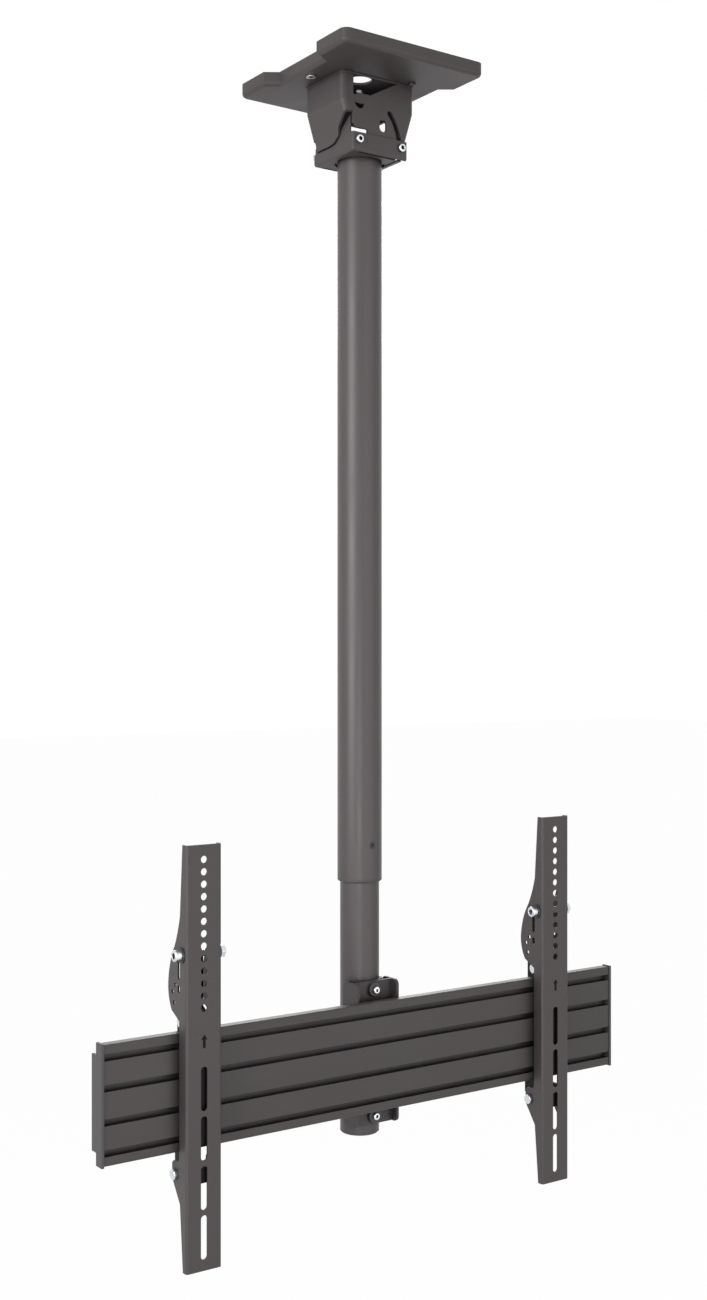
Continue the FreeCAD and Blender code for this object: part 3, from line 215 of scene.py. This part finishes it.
class NodeSheet:
    """Places nodes in a tree and joins them."""

    def __init__(self, tree):
        self.tree = tree
        self.column = 0

    def add(self, kind, **settings):
        node = self.tree.nodes.new(kind)
        node.location = (self.column * 190, -(self.column % 4) * 190)
        self.column += 1
        for key, value in settings.items():
            setattr(node, key, value)
        return node

    def feed(self, source, target):
        self.tree.links.new(source, target)

    def math(self, operation, first, second):
        """A Math node of two inputs, each a socket or a number."""
        node = self.add("ShaderNodeMath", operation=operation)
        for socket, value in zip(node.inputs, (first, second)):
            if isinstance(value, (int, float)):
                socket.default_value = value
            else:
                self.feed(value, socket)
        return node.outputs[0]

    def spread(self, value, low, high, to_low, to_high):
        """A clamped Map Range of one value."""
        node = self.add("ShaderNodeMapRange", clamp=True)
        self.feed(value, node.inputs["Value"])
        ends = {"From Min": low, "From Max": high, "To Min": to_low, "To Max": to_high}
        for name, number in ends.items():
            node.inputs[name].default_value = number
        return node.outputs["Result"]

    def noise(self, vector, scale, detail, roughness=0.5):
        """A Noise texture, its scale a socket or a number."""
        node = self.add("ShaderNodeTexNoise")
        self.feed(vector, node.inputs["Vector"])
        node.inputs["Detail"].default_value = detail
        node.inputs["Roughness"].default_value = roughness
        if isinstance(scale, (int, float)):
            node.inputs["Scale"].default_value = scale
        else:
            self.feed(scale, node.inputs["Scale"])
        return node.outputs["Fac"]

    def mix(self, factor, first, second):
        """A colour mix, each input a socket or a colour."""
        node = self.add("ShaderNodeMix", data_type="RGBA")
        self.feed(factor, node.inputs[0])
        for socket, value in ((node.inputs[6], first), (node.inputs[7], second)):
            if isinstance(value, tuple):
                socket.default_value = value
            else:
                self.feed(value, socket)
        return node.outputs[2]


def new_group(name, inputs, outputs):
    """The sheet of a new shader group, and the nodes that hold its inputs and its outputs."""
    group = bpy.data.node_groups.new(name, "ShaderNodeTree")
    for label, kind, default in inputs:
        socket = group.interface.new_socket(name=label, in_out="INPUT", socket_type=kind)
        if default is not None:
            socket.default_value = default
    for label, kind in outputs:
        group.interface.new_socket(name=label, in_out="OUTPUT", socket_type=kind)
    sheet = NodeSheet(group)
    return sheet, sheet.add("NodeGroupInput"), sheet.add("NodeGroupOutput")


def powder_grain_group():
    """Pebbled skin of a baked powder coat: fine pebbles over a slow orange peel."""
    sheet, start, end = new_group(
        "Powder Grain",
        [("Vector", VECTOR, None), ("Pebble Scale", FLOAT, 900.0), ("Peel", FLOAT, 0.5)],
        [("Height", FLOAT), ("Tone", FLOAT), ("Gloss", FLOAT)])
    vector = start.outputs["Vector"]
    pebble = sheet.noise(vector, start.outputs["Pebble Scale"], 2.0)
    peel = sheet.noise(vector, sheet.math("MULTIPLY", start.outputs["Pebble Scale"], PEEL_SHARE), 1.0)
    peel = sheet.math("MULTIPLY", peel, start.outputs["Peel"])
    sheet.feed(sheet.math("ADD", pebble, peel), end.inputs["Height"])
    slow = sheet.noise(vector, 9.0, 3.0)
    fleck = sheet.spread(pebble, 0.32, 0.72, 0.0, 1.0)
    clouded, flecked = sheet.math("MULTIPLY", slow, 0.55), sheet.math("MULTIPLY", fleck, 0.45)
    sheet.feed(sheet.math("ADD", clouded, flecked), end.inputs["Tone"])
    sheet.feed(sheet.spread(slow, 0.3, 0.7, 0.0, 1.0), end.inputs["Gloss"])


def edge_wear_group():
    """Soft rounding of the edges, and a broken mask along them."""
    sheet, start, end = new_group(
        "Edge Wear",
        [("Vector", VECTOR, None), ("Break-up Scale", FLOAT, 60.0)],
        [("Normal", VECTOR), ("Edge", FLOAT)])
    bevel = sheet.add("ShaderNodeBevel", samples=6)
    bevel.inputs["Radius"].default_value = bpy.context.scene.mount_finish.edge_radius
    sheet.feed(bevel.outputs["Normal"], end.inputs["Normal"])
    geometry = sheet.add("ShaderNodeNewGeometry")
    dot = sheet.add("ShaderNodeVectorMath", operation="DOT_PRODUCT")
    sheet.feed(bevel.outputs["Normal"], dot.inputs[0])
    sheet.feed(geometry.outputs["Normal"], dot.inputs[1])
    turned = sheet.spread(dot.outputs["Value"], 0.995, 0.86, 0.0, 1.0)
    broken = sheet.noise(start.outputs["Vector"], start.outputs["Break-up Scale"], 4.0, 0.65)
    broken = sheet.spread(broken, 0.38, 0.62, 0.25, 1.0)
    sheet.feed(sheet.math("MULTIPLY", turned, broken), end.inputs["Edge"])


def drawn_lines_group():
    """Fine lines that run along the vector's first axis, as on drawn or extruded metal."""
    sheet, start, end = new_group(
        "Drawn Lines",
        [("Vector", VECTOR, None), ("Line Scale", FLOAT, 700.0)],
        [("Height", FLOAT), ("Tone", FLOAT)])
    stretch = sheet.add("ShaderNodeVectorMath", operation="MULTIPLY")
    sheet.feed(start.outputs["Vector"], stretch.inputs[0])
    stretch.inputs[1].default_value = LINE_STRETCH
    fine = sheet.noise(stretch.outputs[0], start.outputs["Line Scale"], 2.0, 0.6)
    broad_scale = sheet.math("MULTIPLY", start.outputs["Line Scale"], BROAD_LINE_SHARE)
    broad = sheet.noise(stretch.outputs[0], broad_scale, 2.0)
    sheet.feed(fine, end.inputs["Height"])
    thin, wide = sheet.math("MULTIPLY", fine, 0.35), sheet.math("MULTIPLY", broad, 0.65)
    sheet.feed(sheet.math("ADD", thin, wide), end.inputs["Tone"])


def settled_dust_group():
    """Thin dust on what faces up, patchy."""
    sheet, start, end = new_group(
        "Settled Dust",
        [("Vector", VECTOR, None), ("Amount", FLOAT, 0.2)],
        [("Dust", FLOAT)])
    geometry = sheet.add("ShaderNodeNewGeometry")
    split = sheet.add("ShaderNodeSeparateXYZ")
    sheet.feed(geometry.outputs["Normal"], split.inputs[0])
    upward = sheet.spread(split.outputs["Z"], 0.55, 0.98, 0.0, 1.0)
    patch = sheet.spread(sheet.noise(start.outputs["Vector"], 34.0, 5.0, 0.6), 0.3, 0.7, 0.4, 1.0)
    covered = sheet.math("MULTIPLY", upward, patch)
    sheet.feed(sheet.math("MULTIPLY", covered, start.outputs["Amount"]), end.inputs["Dust"])


def painted_corner_shade_group():
    """Painted shade where surfaces stand close, from ambient occlusion: a dark core and a wider, weaker ring.
    """
    sheet, start, end = new_group(
        "Corner Grime",
        [("Vector", VECTOR, None), ("Reach", FLOAT, 0.012), ("Spread", FLOAT, 0.5)],
        [("Grime", FLOAT)])
    near = sheet.add("ShaderNodeAmbientOcclusion", samples=8)
    sheet.feed(start.outputs["Reach"], near.inputs["Distance"])
    core = sheet.spread(near.outputs["AO"], 0.9, 0.3, 0.0, 1.0)
    far = sheet.add("ShaderNodeAmbientOcclusion", samples=8)
    sheet.feed(sheet.math("MULTIPLY", start.outputs["Reach"], SHADE_RIM_REACH), far.inputs["Distance"])
    shade_rim = sheet.spread(far.outputs["AO"], 0.85, 0.1, 0.0, 1.0)
    hidden = sheet.math("MAXIMUM", core, sheet.math("MULTIPLY", shade_rim, start.outputs["Spread"]))
    patch = sheet.spread(sheet.noise(start.outputs["Vector"], 52.0, 4.0, 0.6), 0.3, 0.7, 0.8, 1.0)
    sheet.feed(sheet.math("MULTIPLY", hidden, patch), end.inputs["Grime"])


def toned(colour, factor):
    """A colour made lighter or darker."""
    return tuple(min(1.0, channel * factor) for channel in colour)


def shade(colour, factor):
    """A colour made lighter or darker, with full alpha."""
    return toned(colour, factor) + (1.0,)


def new_material(name):
    """A node material with its sheet, its Principled node and object coordinates."""
    material = bpy.data.materials.new(name)
    material.use_nodes = True
    material.node_tree.nodes.clear()
    sheet = NodeSheet(material.node_tree)
    place = sheet.add("ShaderNodeTexCoord").outputs["Object"]
    shader = sheet.add("ShaderNodeBsdfPrincipled")
    out = sheet.add("ShaderNodeOutputMaterial")
    sheet.feed(shader.outputs["BSDF"], out.inputs["Surface"])
    return material, sheet, shader, place


def use_group(sheet, group, vector, **values):
    """A shared group in a material, with its own values."""
    node = sheet.add("ShaderNodeGroup")
    node.node_tree = bpy.data.node_groups[group]
    sheet.feed(vector, node.inputs["Vector"])
    for label, value in values.items():
        node.inputs[label.replace("_", " ")].default_value = value
    return node


def turned_along(sheet, vector, axis):
    """The coordinates turned so that the lines run along X, Y or Z."""
    mapping = sheet.add("ShaderNodeMapping", vector_type="TEXTURE")
    mapping.inputs["Rotation"].default_value = {
        "X": (0, 0, 0), "Y": (0, 0, math.radians(90)), "Z": (0, math.radians(-90), 0)}[axis]
    sheet.feed(vector, mapping.inputs["Vector"])
    return mapping.outputs["Vector"]


def bump(sheet, shader, height, normal, distance, strength):
    """A Bump node of a real depth in metres on the shader."""
    node = sheet.add("ShaderNodeBump")
    node.inputs["Distance"].default_value = distance
    node.inputs["Strength"].default_value = strength
    sheet.feed(height, node.inputs["Height"])
    sheet.feed(normal, node.inputs["Normal"])
    sheet.feed(node.outputs["Normal"], shader.inputs["Normal"])


def coat_material(name, colour, axis=None, depth=COAT_DEPTH, rough=(0.42, 0.56), worn=1.7, dust=0.22,
                  shade_reach=0.012, shade_rim=0.4, specular=0.4):
    """Powder coat, with drawn lines below it where an axis is given.

    Worn is how light its edges are. The painted shade where surfaces stand close has a reach in metres
    and a setting for how strong its wider part is.
    """
    sizes = bpy.context.scene.mount_finish
    material, sheet, shader, place = new_material(name)
    grain = use_group(sheet, "Powder Grain", place, Pebble_Scale=1.0 / sizes.grain_size)
    wear = use_group(sheet, "Edge Wear", place)
    fallen = use_group(sheet, "Settled Dust", place, Amount=dust)
    tone, height = grain.outputs["Tone"], grain.outputs["Height"]
    if axis:
        lines = use_group(sheet, "Drawn Lines", turned_along(sheet, place, axis))
        grained = sheet.math("MULTIPLY", tone, 0.4)
        tone = sheet.math("ADD", grained, sheet.math("MULTIPLY", lines.outputs["Tone"], 0.6))
        height = sheet.math("ADD", sheet.math("MULTIPLY", height, 0.5), lines.outputs["Height"])
    tone = sheet.spread(tone, 0.25, 0.75, 0.0, 1.0)
    base = sheet.mix(tone, shade(colour, 0.88), shade(colour, 1.12))
    base = sheet.mix(wear.outputs["Edge"], base, shade(colour, worn))
    base = sheet.mix(fallen.outputs["Dust"], base, DUST)
    # Painted shade: the coat goes dark where surfaces stand close.
    corner_shade = use_group(sheet, "Corner Grime", place, Reach=shade_reach, Spread=shade_rim)
    base = sheet.mix(corner_shade.outputs["Grime"], base, shade(colour, 0.18))
    sheet.feed(base, shader.inputs["Base Color"])
    gloss = sheet.spread(grain.outputs["Gloss"], 0.0, 1.0, *rough)
    dusty = sheet.math("ADD", gloss, sheet.math("MULTIPLY", fallen.outputs["Dust"], 0.5))
    sheet.feed(dusty, shader.inputs["Roughness"])
    shader.inputs["Specular IOR Level"].default_value = specular
    bump(sheet, shader, height, wear.outputs["Normal"], distance=depth, strength=0.9)
    return material


def plastic_material(name, colour):
    """Moulded plastic: spark-eroded grain and slightly shiny edges."""
    material, sheet, shader, place = new_material(name)
    grain = use_group(sheet, "Powder Grain", place, Pebble_Scale=1700.0, Peel=0.1)
    wear = use_group(sheet, "Edge Wear", place, **{"Break-up Scale": 25.0})
    speckle = sheet.spread(grain.outputs["Tone"], 0.3, 0.7, 0.0, 1.0)
    base = sheet.mix(speckle, shade(colour, 0.85), shade(colour, 1.15))
    base = sheet.mix(wear.outputs["Edge"], base, shade(colour, 1.5))
    sheet.feed(base, shader.inputs["Base Color"])
    rough = sheet.spread(grain.outputs["Gloss"], 0.0, 1.0, 0.5, 0.62)
    rubbed = sheet.math("MULTIPLY", wear.outputs["Edge"], 0.16)
    sheet.feed(sheet.math("SUBTRACT", rough, rubbed), shader.inputs["Roughness"])
    bump(sheet, shader, grain.outputs["Height"], wear.outputs["Normal"], distance=PLASTIC_DEPTH, strength=0.7)
    return material


def plated_material(name, colour, axis):
    """Bright zinc over turned steel, with a faint cloudy tint."""
    material, sheet, shader, place = new_material(name)
    lines = use_group(sheet, "Drawn Lines", turned_along(sheet, place, axis), Line_Scale=1500.0)
    grain = use_group(sheet, "Powder Grain", place, Pebble_Scale=420.0)
    wear = use_group(sheet, "Edge Wear", place, **{"Break-up Scale": 200.0})
    cloud = sheet.spread(grain.outputs["Tone"], 0.3, 0.7, 0.0, 1.0)
    cool = tuple(channel * factor for channel, factor in zip(colour, ZINC_COOL_TINT)) + (1.0,)
    base = sheet.mix(cloud, cool, shade(colour, 1.1))
    base = sheet.mix(wear.outputs["Edge"], base, shade(colour, 1.3))
    # Painted shade: the zinc goes dark in its sockets and crevices.
    corner_shade = use_group(sheet, "Corner Grime", place, Reach=0.004, Spread=0.2)
    base = sheet.mix(corner_shade.outputs["Grime"], base, BOLT_SOCKET_SHADE)
    sheet.feed(base, shader.inputs["Base Color"])
    shader.inputs["Metallic"].default_value = 1.0
    gloss = sheet.spread(lines.outputs["Tone"], 0.3, 0.7, *ZINC_ROUGHNESS)
    sheet.feed(gloss, shader.inputs["Roughness"])
    bump(sheet, shader, lines.outputs["Height"], wear.outputs["Normal"], distance=PLATING_DEPTH, strength=0.5)
    return material


def dress(node, material):
    """Gives a CAD node its finish."""
    mesh = NODES[node].data
    mesh.materials.clear()
    mesh.materials.append(material)


class MOUNT_OT_shared_groups(bpy.types.Operator):
    """Build the effects that several finishes share"""
    bl_idname = "mount.shared_groups"
    bl_label = "Shared Effects"

    def execute(self, context):
        for build in (powder_grain_group, edge_wear_group, drawn_lines_group, settled_dust_group,
                      painted_corner_shade_group):
            build()
        return {"FINISHED"}


class MOUNT_OT_steel(bpy.types.Operator):
    """Coat the sheet steel: plate, yoke, block, carrier, hook brackets and arms"""
    bl_idname = "mount.steel"
    bl_label = "Coated Sheet Steel"

    def execute(self, context):
        colour = context.scene.mount_finish.coat_colour[:]
        coat = coat_material("Charcoal powder coat", colour)
        for node, slot in SLOT_OF.items():
            if slot == "charcoal_steel" and not node.endswith("_tube"):
                dress(node, coat)
        # The plate gets a stronger, wider painted shade close to the yoke.
        dress("ceiling_plate", coat_material(
            "Charcoal plate", toned(colour, PLATE_TONE), shade_reach=0.016, shade_rim=0.95))
        # The hook brackets get a darker copy of the coat, as painted shade inside their channels.
        shaded = coat_material(
            "Charcoal in the channels", toned(colour, HOOK_SHADE_TONE), shade_reach=0.02, shade_rim=0.9, specular=0.12)
        # The arms get a longer-reaching painted shade.
        arm = coat_material("Charcoal arms", colour, shade_reach=0.03, shade_rim=0.95)
        for side in SIDES:
            dress("hook_bracket_" + side, shaded)
            dress("arm_" + side, arm)
        dress("carrier_bracket", coat_material(
            "Charcoal carrier", toned(colour, CARRIER_TONE), axis="Z", depth=CARRIER_DEPTH, dust=0.1))
        return {"FINISHED"}


class MOUNT_OT_pole(bpy.types.Operator):
    """Coat the two pole tubes, whose drawing lines run along the pole"""
    bl_idname = "mount.pole"
    bl_label = "Pole Tubes"

    def execute(self, context):
        colour = context.scene.mount_finish.coat_colour[:]
        tube = coat_material(
            "Charcoal drawn tube", toned(colour, TUBE_TONE), axis="Z", depth=TUBE_DEPTH,
            rough=(0.34, 0.44), dust=0.0)
        for node in ("outer_tube", "inner_tube"):
            dress(node, tube)
        return {"FINISHED"}


class MOUNT_OT_rail(bpy.types.Operator):
    """Coat the extruded rail, whose lines run along it"""
    bl_idname = "mount.rail"
    bl_label = "Rail"

    def execute(self, context):
        colour = context.scene.mount_finish.rail_colour[:]
        dress("rail", coat_material(
            "Charcoal extrusion", colour, axis="X", depth=RAIL_DEPTH, rough=(0.38, 0.5), dust=0.12))
        return {"FINISHED"}


class MOUNT_OT_plastics(bpy.types.Operator):
    """Finish the moulded caps, bush, guide and end ring"""
    bl_idname = "mount.plastics"
    bl_label = "Plastic Parts"

    def execute(self, context):
        plastic = plastic_material("Moulded plastic", context.scene.mount_finish.plastic_colour[:])
        for node, slot in SLOT_OF.items():
            if slot == "black_plastic":
                dress(node, plastic)
        return {"FINISHED"}


class MOUNT_OT_fasteners(bpy.types.Operator):
    """Plate the bolts, nuts and screws, and blacken the washers"""
    bl_idname = "mount.fasteners"
    bl_label = "Fasteners"

    def execute(self, context):
        sizes = context.scene.mount_finish
        plated = {axis: plated_material("Bright zinc along " + axis, sizes.zinc_colour[:], axis)
                  for axis in "XYZ"}
        blackened = coat_material("Blackened steel", sizes.black_colour[:], rough=(0.3, 0.42), worn=2.4)
        upright = ("anchor_screws", "safety_bolt", "jaw_screw")
        crosswise = ("cross_bolt", "tilt_bolt", "tilt_nut", "hinge_bolt", "hinge_nut", "hinge_spacers")
        for node, slot in SLOT_OF.items():
            if slot == "bright_zinc":
                axis = "Z" if node.startswith(upright) else "X" if node.startswith(crosswise) else "Y"
                dress(node, plated[axis])
            elif slot == "black_steel":
                dress(node, blackened)
        return {"FINISHED"}


class MOUNT_OT_arrow_marks(bpy.types.Operator):
    """Print the up arrow on the face of each screen arm"""
    bl_idname = "mount.arrow_marks"
    bl_label = "Arrow Marks"

    def execute(self, context):
        sizes = context.scene.mount_marks
        ink = plastic_material("Arrow ink", INK)
        ink.node_tree.nodes["Principled BSDF"].inputs["Specular IOR Level"].default_value = 0.1
        for side in SIDES:
            low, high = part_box("arm_" + side)
            middle, face = (low[0] + high[0]) / 2, low[1]
            mark = self.arrow(sizes, "arrow_" + side, middle, face)
            mark.data.materials.append(ink)
            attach(mark, "screen_arm_" + side)
        return {"FINISHED"}

    def arrow(self, sizes, name, x, face):
        """A flat plane drawn out into an arrow, then given its thickness."""
        deselect_everything()
        bottom = sizes.tip_height - sizes.length
        shoulder = sizes.tip_height - sizes.head_length
        bpy.ops.mesh.primitive_plane_add(
            size=1, location=(x, face, (bottom + shoulder) / 2), rotation=(math.radians(90), 0, 0))
        mark = bpy.context.object
        mark.name = name
        mark.scale = (sizes.shaft_width, shoulder - bottom, 1)
        settle(mark)
        bpy.context.view_layer.objects.active = mark
        mark.select_set(True)
        quarter = (shoulder - bottom) / 4
        select_edges(mark.data, lambda end: end.z > shoulder - quarter)
        bpy.ops.object.mode_set(mode="EDIT")
        bpy.ops.mesh.select_mode(type="EDGE")
        bpy.ops.mesh.extrude_region_move()
        bpy.ops.transform.resize(value=(sizes.head_width / sizes.shaft_width, 1, 1))
        bpy.ops.mesh.extrude_region_move(TRANSFORM_OT_translate={"value": (0, 0, sizes.head_length)})
        bpy.ops.transform.resize(value=(ARROW_POINT_SHARE, 1, 1))
        bpy.ops.mesh.select_all(action="SELECT")
        bpy.ops.mesh.dissolve_degenerate(threshold=0.00001)
        bpy.ops.object.mode_set(mode="OBJECT")
        solid = mark.modifiers.new("Thickness", "SOLIDIFY")
        solid.thickness = sizes.thickness
        solid.offset = 1.0
        bpy.ops.object.modifier_apply(modifier=solid.name)
        mark.select_set(False)
        return mark


def area_light(name, place, aim, power, size):
    """A soft square lamp that looks at a point."""
    bpy.ops.object.light_add(type="AREA", location=place)
    lamp = bpy.context.object
    lamp.name = name
    lamp.data.energy = power
    lamp.data.size = size
    lamp.rotation_euler = (Vector(aim) - Vector(place)).to_track_quat("-Z", "Y").to_euler()


def seen_directly(sheet):
    """One for camera, glossy and transmission rays, so that metal shows the background too."""
    path = sheet.add("ShaderNodeLightPath")
    either = sheet.math("MAXIMUM", path.outputs["Is Camera Ray"], path.outputs["Is Glossy Ray"])
    return sheet.math("MAXIMUM", either, path.outputs["Is Transmission Ray"])


class MOUNT_OT_studio(bpy.types.Operator):
    """Set up the floor, the room light, the lamps and the camera"""
    bl_idname = "mount.studio"
    bl_label = "Studio"

    def execute(self, context):
        sizes = context.scene.mount_studio
        deselect_everything()
        self.floor(sizes)
        self.room(sizes)
        for name, place, aim, power, side in LAMPS:
            area_light(name, place, aim, getattr(sizes, power), side)
        self.camera(sizes)
        context.scene.view_settings.view_transform = "Standard"
        return {"FINISHED"}

    def floor(self, sizes):
        """A pale floor well below the mount."""
        bpy.ops.mesh.primitive_plane_add(size=FLOOR_SIDE, location=(0, 0, sizes.floor_height))
        floor = bpy.context.object
        floor.name = "floor"
        settle(floor)
        material, sheet, shader, place = new_material("Pale floor")
        tone = sheet.spread(sheet.noise(place, 1.5, 3.0), 0.3, 0.7, 0.0, 1.0)
        sheet.feed(sheet.mix(tone, FLOOR_DARK, FLOOR_LIGHT), shader.inputs["Base Color"])
        shader.inputs["Roughness"].default_value = 0.9
        glow = sheet.add("ShaderNodeEmission")
        glow.inputs["Strength"].default_value = 1.0
        blend = sheet.add("ShaderNodeMixShader")
        sheet.feed(sheet.math("MULTIPLY", seen_directly(sheet), 0.98), blend.inputs[0])
        sheet.feed(shader.outputs["BSDF"], blend.inputs[1])
        sheet.feed(glow.outputs["Emission"], blend.inputs[2])
        out = next(node for node in material.node_tree.nodes if node.type == "OUTPUT_MATERIAL")
        sheet.feed(blend.outputs[0], out.inputs["Surface"])
        floor.data.materials.append(material)

    def room(self, sizes):
        """White where the camera sees it, and a plain soft light for the rest."""
        world = bpy.data.worlds.new("Studio room")
        bpy.context.scene.world = world
        world.use_nodes = True
        world.node_tree.nodes.clear()
        sheet = NodeSheet(world.node_tree)
        light, white = sheet.add("ShaderNodeBackground"), sheet.add("ShaderNodeBackground")
        light.inputs["Strength"].default_value = sizes.sky_strength
        light.inputs["Color"].default_value = WHITE
        white.inputs["Strength"].default_value = 1.0
        white.inputs["Color"].default_value = WHITE
        blend = sheet.add("ShaderNodeMixShader")
        sheet.feed(seen_directly(sheet), blend.inputs[0])
        sheet.feed(light.outputs[0], blend.inputs[1])
        sheet.feed(white.outputs[0], blend.inputs[2])
        sheet.feed(blend.outputs[0], sheet.add("ShaderNodeOutputWorld").inputs["Surface"])

    def camera(self, sizes):
        """The photograph's viewpoint: level, turned to the right, the horizon mid-frame."""
        bpy.ops.object.camera_add(
            location=sizes.camera_place, rotation=(math.radians(90), 0, -sizes.camera_turn))
        camera = bpy.context.object
        camera.name = "photo_camera"
        camera.data.sensor_width = CAMERA_FRAME
        camera.data.lens = sizes.lens
        camera.data.clip_end = VIEW_LIMIT
        bpy.context.scene.camera = camera


STEPS = (MOUNT_OT_shared_groups, MOUNT_OT_steel, MOUNT_OT_pole, MOUNT_OT_rail, MOUNT_OT_plastics,
         MOUNT_OT_fasteners, MOUNT_OT_arrow_marks, MOUNT_OT_studio)


class MOUNT_PT_panel(bpy.types.Panel):
    """Lists the steps and their sizes"""
    bl_label = "TV Ceiling Mount"
    bl_idname = "MOUNT_PT_panel"
    bl_space_type = "VIEW_3D"
    bl_region_type = "UI"
    bl_category = "Mount"

    def draw(self, context):
        for step in STEPS:
            self.layout.operator(step.bl_idname)
        scene = context.scene
        for group in (scene.mount_finish, scene.mount_marks, scene.mount_studio):
            column = self.layout.column(align=True)
            for name in group.__annotations__:
                column.prop(group, name)


CLASSES = (FinishSizes, MarkSizes, StudioSizes) + STEPS + (MOUNT_PT_panel,)


def register():
    """Registers the classes and their settings on the scene."""
    for cls in CLASSES:
        bpy.utils.register_class(cls)
    bpy.types.Scene.mount_finish = PointerProperty(type=FinishSizes)
    bpy.types.Scene.mount_marks = PointerProperty(type=MarkSizes)
    bpy.types.Scene.mount_studio = PointerProperty(type=StudioSizes)


def unregister():
    """Takes the classes and settings away again."""
    for name in ("mount_finish", "mount_marks", "mount_studio"):
        delattr(bpy.types.Scene, name)
    for cls in reversed(CLASSES):
        bpy.utils.unregister_class(cls)


def main():
    """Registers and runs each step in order."""
    register()
    for step in STEPS:
        group, name = step.bl_idname.split(".")
        getattr(getattr(bpy.ops, group), name)()


if __name__ == "__main__":
    main()
